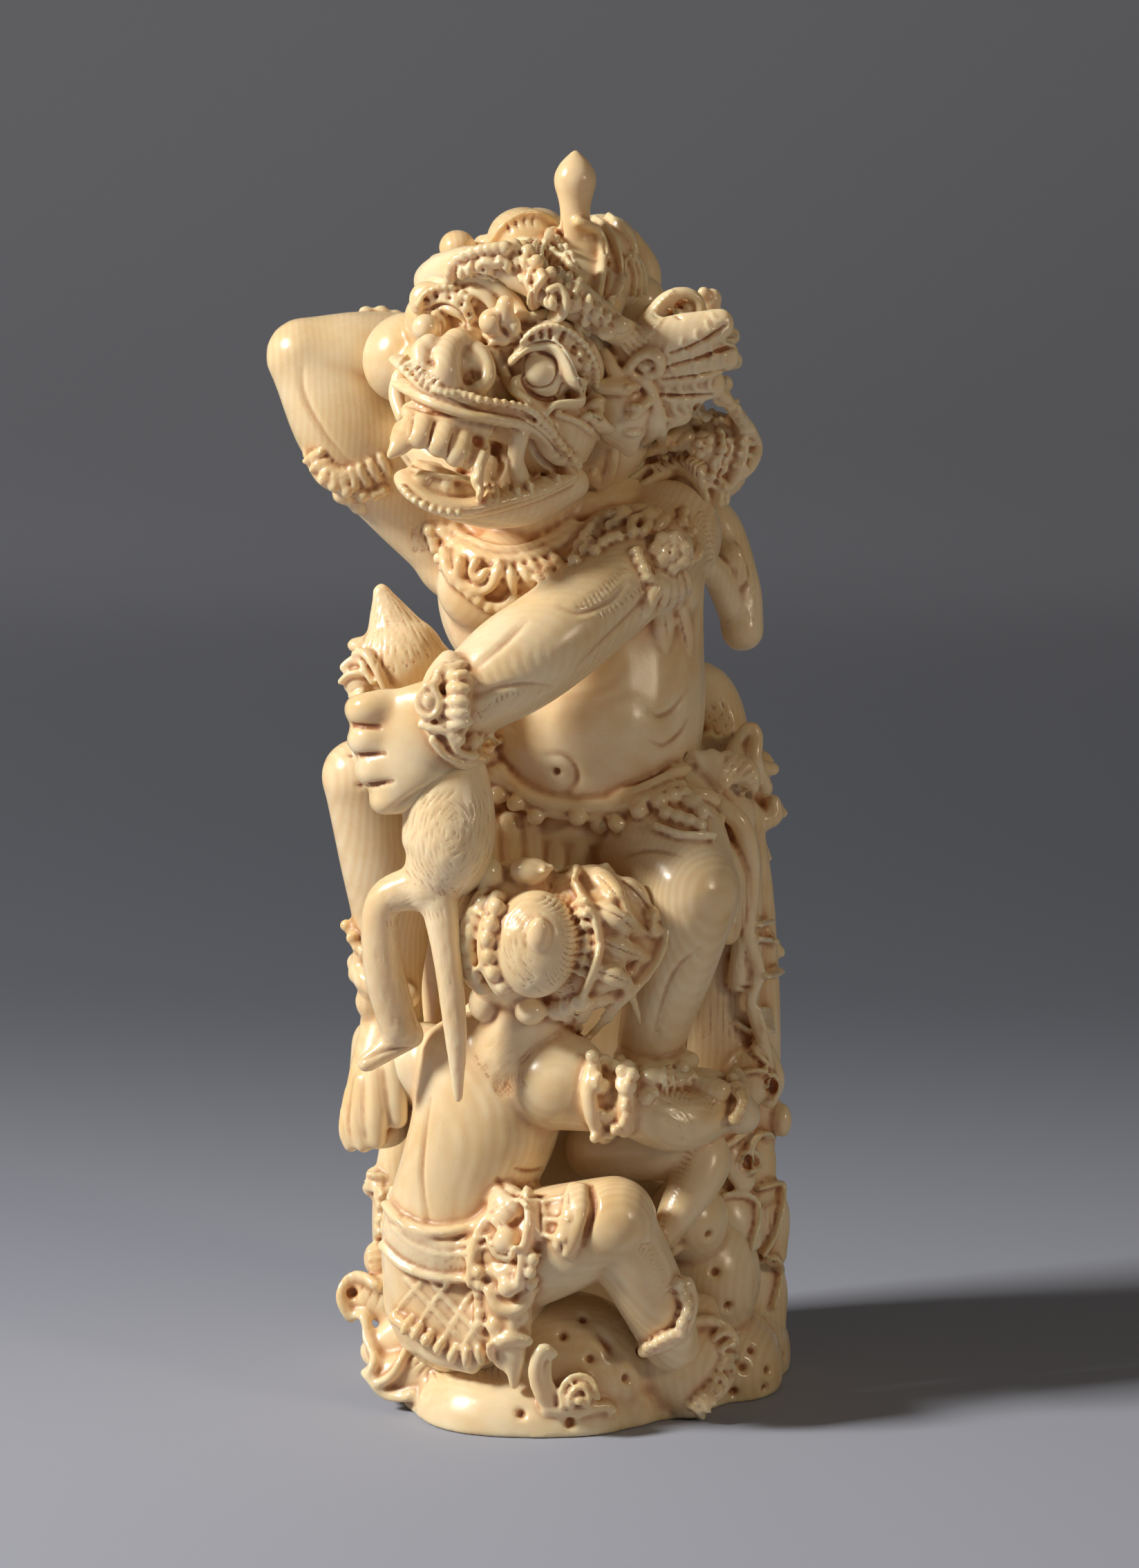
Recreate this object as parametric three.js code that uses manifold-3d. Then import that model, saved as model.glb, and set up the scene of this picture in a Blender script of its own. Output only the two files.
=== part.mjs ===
// A carving cut from one length of ivory: a fanged giant with a plumed crown seizes a monkey in its
// left hand, a crowned monkey prince kneels at its feet with its back to the viewer, more monkeys climb
// the giant's back, and the group stands on pitted rocks. Millimetres, +Z up, the carved front facing -Y,
// the origin on the flat underside.
import * as THREE from "three";
import { mergeVertices } from "three/addons/utils/BufferGeometryUtils.js";
import { SimplifyModifier } from "three/addons/modifiers/SimplifyModifier.js";
import Module from "manifold-3d";

const wasm = await Module();
wasm.setup();

// Driving dimensions.
const HEIGHT = 180; // underside to finial tip
const TUSK_RADIUS = 30; // the round of the ivory, which the base still shows
const TUSK_CENTRE_X = 2;
const FACES = 9900; // flat faces left on the whole carving
const PINCH_GAP = 0.04; // how far, of the way to its neighbours, a point that two skins share is moved

const ACROSS = [1, 0, 0];
const DEPTH = [0, 1, 0];
const UP = [0, 0, 1];

// Shapes that every figure is carved from.

/** A closed skin over rings of points, each ring the same length, capped by one point at either end. */
function skin(rings, start, end) {
  const sides = rings[0].length;
  const points = [start, ...rings.flat(), end];
  const last = points.length - 1;
  const at = (ring, side) => 1 + ring * sides + (side % sides);
  const faces = [];
  for (let side = 0; side < sides; side++) {
    faces.push(0, at(0, side + 1), at(0, side));
    faces.push(last, at(rings.length - 1, side), at(rings.length - 1, side + 1));
    for (let ring = 0; ring < rings.length - 1; ring++) {
      faces.push(at(ring, side), at(ring, side + 1), at(ring + 1, side));
      faces.push(at(ring, side + 1), at(ring + 1, side + 1), at(ring + 1, side));
    }
  }
  return new THREE.BufferGeometry().setFromPoints(points).setIndex(faces);
}

/**
 * A rounded limb through stations [x, y, z, half width, half thickness]. The width lies along the
 * direction wide, and the thickness equals the width where a station leaves it out.
 */
function limb(stations, { wide = ACROSS, sides = 7, steps = 2 } = {}) {
  const places = stations.map(([x, y, z]) => new THREE.Vector3(x, y, z));
  const girths = stations.map(([, , , w, t = w]) => new THREE.Vector3(w, t, 0));
  const line = new THREE.CatmullRomCurve3(places, false, "catmullrom", 0.5);
  const girth = new THREE.CatmullRomCurve3(girths, false, "catmullrom", 0.5);
  const count = (stations.length - 1) * steps;
  const widest = new THREE.Vector3(...wide);
  const section = (t, shrink, shift) => {
    const along = line.getTangent(t);
    const across = widest.clone().addScaledVector(along, -widest.dot(along)).normalize();
    const through = new THREE.Vector3().crossVectors(along, across);
    const size = girth.getPoint(t);
    const centre = line.getPoint(t).addScaledVector(along, shift * Math.min(size.x, size.y));
    return Array.from({ length: sides }, (_, i) => {
      const turn = (2 * Math.PI * i) / sides;
      return centre
        .clone()
        .addScaledVector(across, shrink * size.x * Math.cos(turn))
        .addScaledVector(through, shrink * size.y * Math.sin(turn));
    });
  };
  const tip = (t, side) => {
    const size = girth.getPoint(t);
    return line.getPoint(t).addScaledVector(line.getTangent(t), side * Math.min(size.x, size.y));
  };
  const rings = [section(0, 0.7, -0.7)];
  for (let i = 0; i <= count; i++) rings.push(section(i / count, 1, 0));
  rings.push(section(1, 0.7, 0.7));
  return skin(rings, tip(0, -1), tip(1, 1));
}

/** An egg with half sizes [x, y, z], centred at a point. */
function ball([x, y, z], size, { around = 9, down = 6 } = {}) {
  const radii = typeof size === "number" ? [size, size, size] : size;
  return new THREE.SphereGeometry(1, around, down)
    .rotateX(Math.PI / 2)
    .scale(...radii)
    .translate(x, y, z);
}

/** A small bead, with few faces. */
const bead = (centre, size) => ball(centre, size, { around: 5, down: 4 });

/** A pointed leaf from root to tip, standing out towards facing by its rise. */
function leaf(root, tip, facing, options) {
  const { width, thick = width * 0.5, rise = width * 0.3, sides = 6, blunt = 0.25 } = options;
  const a = new THREE.Vector3(...root);
  const b = new THREE.Vector3(...tip);
  const out = new THREE.Vector3(...facing).normalize();
  const wide = new THREE.Vector3().crossVectors(b.clone().sub(a), out).normalize();
  const middle = a.clone().lerp(b, 0.5).addScaledVector(out, rise);
  const stations = [
    [...a, width * 0.55, thick],
    [...middle, width, thick],
    [...b, width * blunt, thick * blunt],
  ];
  return limb(stations, { wide: [...wide], sides, steps: 2 });
}

/** A scroll wound in the plane that faces the direction facing, thinning towards its eye. */
function curl(centre, facing, { radius, thick, turns = 1.1, start = 0, hand = 1, steps = 9 }) {
  const out = new THREE.Vector3(...facing).normalize();
  const guide = Math.abs(out.z) > 0.9 ? DEPTH : UP;
  const side = new THREE.Vector3().crossVectors(new THREE.Vector3(...guide), out).normalize();
  const top = new THREE.Vector3().crossVectors(out, side);
  const stations = [];
  for (let i = 0; i <= steps; i++) {
    const t = i / steps;
    const turn = start + hand * t * turns * 2 * Math.PI;
    const reach = radius * (1 - 0.82 * t);
    const place = new THREE.Vector3(...centre)
      .addScaledVector(side, reach * Math.cos(turn))
      .addScaledVector(top, reach * Math.sin(turn))
      .addScaledVector(out, thick * 0.8 * t);
    stations.push([...place, thick * (1 - 0.3 * t), thick * (1 - 0.3 * t)]);
  }
  return limb(stations, { wide: [...out], sides: 4, steps: 1 });
}

/** Beads set evenly along a smooth line through points. */
function beadRow(points, count, size) {
  const line = new THREE.CatmullRomCurve3(
    points.map((p) => new THREE.Vector3(...p)),
    false,
    "catmullrom",
    0.5,
  );
  return Array.from({ length: count }, (_, i) => bead([...line.getPoint(i / (count - 1))], size));
}

/** The same forms turned by a matrix, for a head that is modelled upright and then tilted. */
const placed = (forms, matrix) => forms.map((form) => form.applyMatrix4(matrix));

const degrees = THREE.MathUtils.degToRad;

/** The matrix that tilts an upright form: roll about its facing line, pitch down, then yaw. */
function attitude([x, y, z], { yaw = 0, pitch = 0, roll = 0 }) {
  return new THREE.Matrix4()
    .makeTranslation(x, y, z)
    .multiply(new THREE.Matrix4().makeRotationZ(degrees(yaw)))
    .multiply(new THREE.Matrix4().makeRotationX(degrees(pitch)))
    .multiply(new THREE.Matrix4().makeRotationY(degrees(roll)));
}

const bothSides = (make) => [make(-1), make(1)].flat();

// The giant's trunk, neck and limbs.

const SHOULDER_LEFT = [14.4, -2, 125];
const ELBOW_LEFT = [-1, -24, 114];
const WRIST_LEFT = [-14.5, -29, 105];
const SHOULDER_RIGHT = [-15, 3, 123];
const ELBOW_RIGHT = [-37.6, -2, 150.5];
const KNEE_RIGHT = [-29.6, -14, 92];
const ANKLE_RIGHT = [-25.5, -9, 61];
const KNEE_LEFT = [17, -21, 77];
const ANKLE_LEFT = [11.5, -17, 54];

function giantTrunk() {
  return [
    limb(
      [
        [1, 0, 80, 17, 14],
        [2.5, -3, 90, 15.5, 13.5],
        [3, -3.5, 99, 16.5, 14],
        [2.5, -2.5, 108, 17, 13],
        [0.5, -2, 117, 19.5, 12.5],
        [-0.5, 0, 125, 18, 9],
      ],
      { sides: 12, steps: 1 },
    ),
    ball([2.5, -8.5, 98.5], [14, 10, 11.5], { around: 14, down: 9 }),
    ball([-9.5, -9, 118.5], [9.5, 6, 7.5]),
    ball([9.5, -8, 118.5], [9.5, 6, 7.5]),
    limb([
      [-3, 1, 122, 9],
      [-7, -4, 133, 8.5],
    ]),
  ];
}

function giantLeftArm() {
  return [
    ball(SHOULDER_LEFT, [7.5, 8.5, 8]),
    limb([
      [...SHOULDER_LEFT, 7.2],
      [9, -14, 121, 6.8],
      [...ELBOW_LEFT, 7.2],
      [-8, -27.5, 109.5, 7.2],
      [...WRIST_LEFT, 5.8],
    ]),
  ];
}

const KNUCKLES = [
  [-29.5, -27, 102],
  [-28, -28.5, 98],
  [-26.5, -29, 94],
  [-24, -29, 90],
];

function giantLeftHand() {
  const fingers = KNUCKLES.map(([x, y, z]) =>
    limb([
      [x + 5, y + 0.5, z + 0.5, 2.6],
      [x, y + 1, z, 2.5],
      [x - 0.5, y + 7, z, 2.2],
    ], { wide: UP, sides: 6 }),
  );
  return [
    limb(
      [
        [-15, -28.5, 103.5, 5.8, 4.5],
        [-20, -29, 100.5, 7.2, 3.8],
        [-25.5, -27.5, 97, 8.2, 3.4],
      ],
      { wide: [0.35, 0, 0.94] },
    ),
    ...fingers,
  ];
}

function giantRightArm() {
  return [
    ball(SHOULDER_RIGHT, [8, 7.5, 8.5]),
    limb(
      [
        [...SHOULDER_RIGHT, 7.5],
        [-24, 2, 131, 7],
        [-31, -1, 141, 8.4],
        [...ELBOW_RIGHT, 5.6],
      ],
      { sides: 9, steps: 3 },
    ),
    limb(
      [
        [...ELBOW_RIGHT, 5.6],
        [-30, 0, 149.8, 7],
        [-21, 5, 149.5, 6.6],
        [-13, 9, 150, 5],
      ],
      { sides: 9, steps: 3 },
    ),
  ];
}

function giantRightLeg() {
  return [
    limb([
      [-6, -1, 85, 9],
      [-18, -8, 90, 8],
      [...KNEE_RIGHT, 5.6],
    ]),
    limb([
      [...KNEE_RIGHT, 5.4],
      [-26.5, -10.5, 80, 6.4],
      [-25.5, -8, 70, 5.6],
      [...ANKLE_RIGHT, 4.4],
      [-25.5, -9, 54, 4.8],
    ]),
    limb(
      [
        [-25.5, -10, 55, 4.6, 4],
        [-27, -14, 47, 5.4, 3.6],
        [-27.8, -16, 41, 5.2, 3.2],
      ],
      { sides: 8 },
    ),
  ];
}

function giantLeftLeg() {
  return [
    limb([
      [6, -1, 86, 10],
      [13, -12, 83, 9],
      [...KNEE_LEFT, 7.2],
    ]),
    limb([
      [...KNEE_LEFT, 7.2],
      [14.5, -19, 66, 6.2],
      [...ANKLE_LEFT, 4.8],
      [12, -17, 47, 5],
    ]),
  ];
}

// The giant's head, modelled upright and facing -Y about its own centre, then turned and tilted.

const HEAD_CENTRE = [-8.6, -9, 150.7];
const HEAD = attitude(HEAD_CENTRE, { yaw: -22, pitch: 8, roll: 23.5 });

const LIP_UPPER = [
  [-15.5, -7, -4],
  [-9.5, -14, -2],
  [-4.5, -17, -1.5],
  [1, -17.8, -2],
  [7, -16, -1.6],
  [13, -11.5, -3],
  [17.5, -6.5, -8],
];
const LIP_LOWER = [
  [-11, -6, -10.5],
  [-5, -14, -15],
  [2, -17, -16.6],
  [9, -14.6, -14.4],
  [16.5, -7, -9.5],
];

function giantFace() {
  const forms = [
    ball([0, 2, 3], [14, 12, 13.5], { around: 14, down: 9 }),
    ball([0, -5, 6], [13, 9.5, 7.5], { around: 12, down: 7 }),
    ball([0.5, -8.5, -2.5], [13, 9.5, 6.5], { around: 12, down: 7 }),
    ball([2.5, -6, -13.5], [12.5, 10, 6], { around: 12, down: 7 }),
    limb(
      [
        [0, -11, 9, 2.4],
        [0, -15.5, 5.5, 3],
        [0, -18, 2.6, 3.4],
      ],
      { sides: 7, steps: 2 },
    ),
    limb(LIP_UPPER.map((p) => [...p, 1.8]), { wide: UP, sides: 6, steps: 1 }),
    limb(LIP_LOWER.map((p) => [...p, 2.5]), { wide: UP, sides: 6, steps: 1 }),
    ball([1, -13, -7], [8.5, 5, 3]),
    ball([2, -15, 9.4], [2.6, 3, 2.6], { around: 7, down: 5 }),
    limb([[2, -14, 11, 1.5], [2.6, -15.4, 14, 1.3]], { sides: 6, steps: 1 }),
    limb([[4.2, -14, 10, 1.4], [5.2, -15.6, 12, 1.1]], { sides: 6, steps: 1 }),
    ball([1.5, -12.5, -14.5], [5.5, 5.5, 2.4]),
  ];
  const pairs = bothSides((side) => [
    ball([side * 12, -7, -4], [6, 6.5, 6.5]),
    ball([side * 8.8, -10.5, 4.3], 4.6, { around: 10, down: 7 }),
    ball([side * 8.8, -12.6, 4.4], 2.9),
    ball([side * 4, -15.5, 1.8], [2.6, 3.2, 2.4], { around: 7, down: 5 }),
    limb(
      [
        [side * 2.6, -12, 8.2, 1.6, 3],
        [side * 8.5, -11, 11, 2.2, 3.4],
        [side * 13, -8.5, 9, 2.2, 3.4],
        [side * 14.6, -6.8, 5, 1.6, 3],
      ],
      { wide: UP, sides: 6, steps: 2 },
    ),
  ]);
  const teeth = [-4.6, -2, 0.7, 3.4].map((x) =>
    ball([x, -16.4 - 0.04 * (8 - Math.abs(x)), -8], [1.4, 2.2, 2.6], { around: 7, down: 5 }),
  );
  const fangs = [
    limb([[-7.2, -14, -5, 2.2], [-6.4, -17.6, -10.2, 0.9]], { sides: 6, steps: 1 }),
    limb([[6.6, -14.5, -5.5, 1.9], [8.2, -17.2, -9.5, 1.4], [8.6, -17.4, -12.2, 0.9]], { sides: 6, steps: 1 }),
    limb([[11.8, -10.5, -11, 2.2], [10.4, -13.5, -5, 1.5]], { sides: 6, steps: 1 }),
  ];
  return [...forms, ...pairs, ...teeth, ...fangs];
}

const TIARA = [
  [-13.5, 0, 6],
  [-12.8, -6, 7.6],
  [-9.6, -9.5, 11.5],
  [-4.6, -11.5, 15],
  [1, -12, 16.5],
  [6.5, -11, 16],
  [11, -8.5, 14.5],
  [14, -5, 12.4],
  [15.6, 0, 10.5],
];
const BUN_CENTRE = [3, 3, 13.5];

function giantCrown() {
  const [bx, by, bz] = BUN_CENTRE;
  const lobes = [-150, -105, -60, -20, 20, 60, 105, 150].map((turn) => {
    const a = degrees(turn);
    return limb(
      [
        [bx + 2.5 * Math.sin(a), by - 2.5 * Math.cos(a), bz + 6.5, 2.6],
        [bx + 9 * Math.sin(a), by - 8 * Math.cos(a), bz + 4.5, 3.6],
        [bx + 11.5 * Math.sin(a), by - 10 * Math.cos(a), bz - 1.5, 3],
      ],
      { wide: [Math.cos(a), Math.sin(a), 0], sides: 6 },
    );
  });
  return [
    ball(BUN_CENTRE, [12, 11, 8], { around: 12, down: 7 }),
    limb(TIARA.map((p) => [...p, 3, 3]), { wide: UP, sides: 6, steps: 1 }),
    ...beadRow(TIARA.map(([x, y, z]) => [x * 1.06, y * 1.06 - 1.4, z + 0.6]), 9, 2.3),
    ...beadRow(TIARA.map(([x, y, z]) => [x * 0.96, y * 0.96 - 0.6, z + 3.4]), 12, 1.5),
    ...lobes,
    ball([-10.5, 2, 12], [3.4, 3.6, 3.6]),
    ball([0, 9, 4], [12, 9, 12]),
    leaf([10, 10, 11], [10.5, 11, 23], DEPTH, { width: 3.6, thick: 3 }),
  ];
}

/** Plumes that fan up and out behind the left ear. */
function earPlumes() {
  const plumes = [
    { root: [14, -3, 8], tip: [23.5, 0, 20], width: 3.8 },
    { root: [15, -1, 7], tip: [27, 2.5, 17.5], width: 3.8 },
    { root: [15, 0, 5], tip: [29.5, 4, 13], width: 3.8 },
    { root: [15, 1, 2], tip: [29, 5, 8], width: 3.6 },
    { root: [15, 1, -1], tip: [25.5, 4, 2.5], width: 3.4 },
  ].map(({ root, tip, width }) => leaf(root, tip, [0.3, -1, 0.2], { width, thick: 3, blunt: 0.6 }));
  return [
    ...plumes,
    curl([21.5, -3, 18], [0, -1, 0], { radius: 3.2, thick: 1.5, hand: -1 }),
    limb([[14.5, -4.5, 7, 1.6], [17.5, -4.8, 12, 1.8], [19.5, -3.6, 16, 2]], { sides: 6, steps: 1 }),
    leaf([14.5, -2.5, 6], [21.5, -1, -5], [0.3, -1, 0], { width: 4.2, thick: 3.4 }),
    ball([15.5, -6, 2], 2.6, { around: 6, down: 4 }),
  ];
}

function giantFinial() {
  const profile = [
    [0, -3],
    [2.6, -3],
    [2.1, 0],
    [2.4, 2.4],
    [3.2, 5.2],
    [3, 7.2],
    [1.2, 9.3],
    [0, 10],
  ].map(([r, z]) => new THREE.Vector2(r, z));
  return new THREE.LatheGeometry(profile, 9).rotateX(Math.PI / 2).translate(0.8, -8, HEIGHT - 10);
}

const giantHead = () => [
  ...placed([...giantFace(), ...giantCrown(), ...earPlumes()], HEAD),
  giantFinial(),
];

// What the giant wears.

function ringPoints(centre, axis, radius, count, from = 0, to = 360) {
  const along = new THREE.Vector3(...axis).normalize();
  const guide = Math.abs(along.z) > 0.9 ? ACROSS : UP;
  const side = new THREE.Vector3(...guide).addScaledVector(along, -along.dot(new THREE.Vector3(...guide))).normalize();
  const other = new THREE.Vector3().crossVectors(along, side);
  return Array.from({ length: count }, (_, i) => {
    const turn = degrees(from + ((to - from) * i) / (count - 1));
    return [
      ...new THREE.Vector3(...centre)
        .addScaledVector(side, radius * Math.cos(turn))
        .addScaledVector(other, radius * Math.sin(turn)),
    ];
  });
}

/** A jewelled cuff about a limb: a ring of knobs. */
function cuff(centre, axis, radius, { knobs = 9, size = 1.8 } = {}) {
  return ringPoints(centre, axis, radius, knobs + 1).slice(1).map((p) => bead(p, size));
}

function giantJewels() {
  const armAxis = [8, 12, 4];
  const collar = [
    [-20, -6, 124],
    [-17, -12, 121],
    [-11.5, -15.5, 117.5],
    [-5, -16.5, 118],
    [1, -15, 121],
    [4, -11, 125],
  ];
  return [
    limb(collar.map(([x, y, z]) => [x, y, z + 3, 2, 1.4]), { wide: UP, sides: 5, steps: 1 }),
    ...beadRow(collar, 9, [2, 1.6, 2.2]),
    ...cuff([8.5, -13.6, 121.4], armAxis, 6.8, { knobs: 9, size: 2.4 }),
    ball([12.5, -16, 123], [4, 3, 4], { around: 7, down: 5 }),
    leaf([13, -14, 121], [13, -12, 112], [0.5, -1, 0], { width: 4 }),
    ...cuff([-15.5, -29, 104.8], [-14, -5, -8], 6.6, { knobs: 9, size: 2 }),
    ...cuff([-24, 2, 131], [-9, -2, 11], 7, { knobs: 10, size: 1.9 }),
    leaf([-22, 0, 129], [-26, 0, 121.5], [-1, -1, 0], { width: 4, thick: 2.5 }),
    ...cuff([-25.7, -8.5, 63], UP, 4.8, { knobs: 8, size: 2 }),
    ...cuff([12, -17, 51.5], UP, 5.2, { knobs: 8, size: 1.8 }),
  ];
}

function giantWaist() {
  const belt = [
    [-17, -9, 87],
    [-9, -15.5, 86.5],
    [1, -17.5, 86.5],
    [10, -15.5, 87.5],
    [17.5, -9, 90],
    [19, -1, 91.5],
  ];
  const pleats = [-12, -8, -4, 0, 4].map((x) =>
    limb([
      [x, -13 - 0.02 * (x + 4) ** 2, 84, 2.2, 2],
      [x * 0.8 - 1, -12, 72, 2, 2],
    ], { sides: 5, steps: 1 }),
  );
  return [
    limb(belt.map((p) => [...p, 2.3, 1.6]), { wide: UP, sides: 5, steps: 1 }),
    limb(
      [
        [-14, -10, 84, 2, 1.6],
        [0, -14, 84, 2, 1.6],
        [13, -13, 84, 3.6, 2.6],
        [20, -6, 86, 4, 3],
      ],
      { wide: UP, sides: 6, steps: 1 },
    ),
    ...pleats,
    ball([15.5, -13, 85.5], [4.5, 3, 3.6], { around: 7, down: 5 }),
    leaf([16, -11, 91], [24.5, -6, 88.5], [0, -1, 0.4], { width: 4.2, thick: 2 }),
    leaf([22, -5, 90], [27, 3, 96.5], [1, -1, 0], { width: 3, thick: 2 }),
    leaf([20, -8, 88], [25, -5, 80], [0.6, -1, 0], { width: 4.5, thick: 2.4 }),
    // The loincloth's edge, turned back over the left thigh.
    limb(
      [
        [10, -14, 84.5, 4, 2],
        [19, -15, 82, 5, 2.2],
        [23, -13, 76, 5, 2.2],
        [22.5, -13, 69, 3, 1.6],
      ],
      { wide: [0.4, 1, 0], sides: 6, steps: 1 },
    ),
  ];
}

// The monkey in the giant's grip.

function grippedMonkey() {
  return [
    limb([
      [-19.5, -23, 99, 6.2],
      [-17, -26, 91, 6.4],
      [-17, -27.5, 83.5, 6.4],
      [-19, -28, 79, 4.4],
    ]),
    ball([-23.5, -17, 108.5], [6.6, 7, 6.8]),
    limb([
      [-24, -17, 110, 6],
      [-26, -16.5, 118.5, 2],
    ], { sides: 6, steps: 1 }),
    ball([-29, -19, 106.5], [3, 3.2, 3.2], { around: 7, down: 5 }),
    bead([-29, -18, 110.5], 2),
    limb([
      [-18.5, -29, 80, 3],
      [-17, -30.5, 70, 2.3],
      [-15.8, -30.5, 58, 1.8],
      [-15.3, -30, 49, 0.9],
    ], { sides: 6 }),
    limb([
      [-19, -28, 79, 3.6],
      [-26, -27, 76, 3],
      [-26, -25.5, 67, 3.2],
      [-24, -23.5, 58, 3],
    ], { sides: 6 }),
    limb([
      [-22.5, -22, 57, 2.6],
      [-28.5, -24, 53, 1.8],
    ], { sides: 6, steps: 1 }),
  ];
}

// The prince who kneels with its back to the viewer.

const PRINCE_HEAD = attitude([-6.2, -25, 71.5], { yaw: 0, pitch: -8, roll: 3 });

function princeHead() {
  const forms = [
    ball([0, 0, 0], [10.5, 8.5, 11.5]),
    ball([1, -8, 0.5], [7.5, 4.5, 9], { around: 9, down: 6 }),
    ball([0.8, -12, 0], [2.8, 2, 3], { around: 6, down: 4 }),
    leaf([0, -1, 0], [19.5, 1, 0], [0, -1, 0], { width: 11, thick: 5.5, rise: 1, sides: 8 }),
    limb([
      [8, -7, 9, 1.6],
      [10, -8, 0, 1.8],
      [8, -7, -9, 1.6],
    ], { wide: UP, sides: 5, steps: 2 }),
    leaf([9, -4, 6], [13.5, -6, 0], [0, -1, 0], { width: 4 }),
    leaf([9, -4, -6], [13.5, -6, -1], [0, -1, 0], { width: 4 }),
    bead([17.5, -3, 1.5], 1.8),
  ];
  const studs = [
    [-5.5, -5, 9.5, 3.4],
    [1, -6, 10.5, 3.6],
    [7.5, -4, 10, 3],
    [-6.5, -4.5, -9.5, 3.2],
    [0, -5.5, -10.5, 3.4],
    [6, -4.5, -9.5, 2.8],
    [-7.5, -6, 4, 2],
    [-8, -6.3, -1, 2.2],
    [-7.5, -6, -5.5, 2],
    [-10, -2.5, 6, 2.2],
    [-11, -2.5, 0, 2.6],
    [-9.6, -2.5, -6.5, 2.4],
  ].map(([x, y, z, r]) => ball([x, y, z], r, { around: 6, down: 4 }));
  return placed([...forms, ...studs], PRINCE_HEAD);
}

function princeBody() {
  return [
    limb([
      [-5, -22, 61, 5.5],
      [-8, -20, 54, 7],
    ]),
    limb(
      [
        [-10.5, -18, 52, 11, 7],
        [-12, -19, 43, 10.6, 8.5],
        [-14.5, -18, 35, 10, 8.5],
        [-15.5, -16, 26, 11.5, 10],
        [-14, -15, 17, 13, 12],
      ],
      { sides: 10, steps: 1 },
    ),
    ball([-1.5, -23, 50], [7.5, 7, 7]),
    limb([
      [0, -23.5, 49, 6],
      [8, -25, 47.5, 4.8],
      [15, -24.5, 44.5, 4.4],
      [21.5, -20, 45.5, 3.6],
    ]),
    limb([
      [12, -18, 47, 4.4],
      [20.5, -17.5, 46.5, 3.8],
      [24.5, -14, 43, 3],
    ]),
    limb([
      [-21, -13, 50, 6.5],
      [-27, -6, 46, 4.6],
      [-28, 2, 50, 4],
    ]),
    limb(
      [
        [-9, -20, 24, 8.8],
        [-1, -26, 28, 7.8],
        [6, -29.5, 31.5, 6.4],
      ],
      { sides: 9 },
    ),
    limb([
      [6, -29, 31, 6],
      [11, -27, 21, 5.2],
      [14.5, -23.5, 12, 4.2],
    ], { sides: 8 }),
    limb([
      [4, -13, 38, 5],
      [13, -16, 38.5, 4.6],
      [19, -17.5, 37.5, 4.2],
      [15.5, -21.5, 31, 3],
      [12, -24, 26, 1.4],
    ], { sides: 6 }),
  ];
}

function princeJewels() {
  const belt = (z, out) =>
    limb(
      [
        [-27, -8, z + 2, 2.2, 1.2],
        [-23, -20 - out, z - 0.5, 2.2, 1.3],
        [-14.5, -25.5 - out, z - 2, 2.2, 1.3],
        [-7, -27 - out, z + 0.5, 2.2, 1.3],
      ],
      { wide: UP, sides: 5, steps: 1 },
    );
  const sashCord = beadRow(
    [
      [-13, -27, 29],
      [-13.4, -28, 22],
      [-12.6, -27.6, 14],
    ],
    6,
    1.5,
  );
  return [
    belt(30.5, 0.2),
    belt(24.5, 1.2),
    limb(
      [
        [-25, -12, 18, 6, 2],
        [-20, -22, 15, 6, 2],
        [-13, -26.5, 13.5, 5.5, 2],
      ],
      { wide: UP, sides: 6, steps: 1 },
    ),
    ...sashCord,
    limb([[-8.6, -27, 33, 3, 3], [-8.8, -28, 22, 3.6, 3], [-8.4, -27.5, 12, 3, 3]], { sides: 7, steps: 1 }),
    ball([-8.6, -29.5, 31], [3.6, 3, 3.4], { around: 8, down: 6 }),
    curl([-8.8, -30.4, 23.5], [0, -1, 0], { radius: 3, thick: 1.6, start: 1.5 }),
    leaf([-8.5, -28.5, 19], [-8.8, -30, 11], [0, -1, 0], { width: 3.8, thick: 2.4 }),
    limb([
      [-8.4, -29, 16, 3, 2.4],
      [-7, -29, 9.5, 2.2, 2],
      [-6.3, -28, 5.5, 1.6, 1.6],
    ], { sides: 6, steps: 1 }),
    ...beadRow(
      [
        [-4.2, -27.6, 35],
        [-5.2, -29.4, 30],
        [-5, -30, 24.5],
      ],
      5,
      1.4,
    ),
    ...cuff([7.4, -25.5, 47.5], [8, -1, -2], 5.2, { knobs: 8, size: 1.9 }),
    curl([9.5, -30, 49], [0, -1, 0], { radius: 2.2, thick: 1 }),
    ...cuff([23, -18.5, 45.5], [5, 3, 0], 3.6, { knobs: 6, size: 1.3 }),
    ...cuff([13.6, -24.5, 15], [2, 3, -8], 4.6, { knobs: 7, size: 1.5 }),
    // Wraps of patterned cloth round the thigh.
    limb([[-2.5, -31, 35, 1.4, 2], [-1.2, -33.5, 28.5, 1.6, 2], [-3, -31.5, 22, 1.2, 2]], { sides: 6, steps: 1 }),
    limb([[2, -32.5, 37, 1.8, 2], [3, -35, 30.5, 2, 2], [0.6, -33.5, 24, 1.3, 2]], { sides: 6, steps: 1 }),
  ];
}

// The rocks underfoot and what grows on them.

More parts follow.
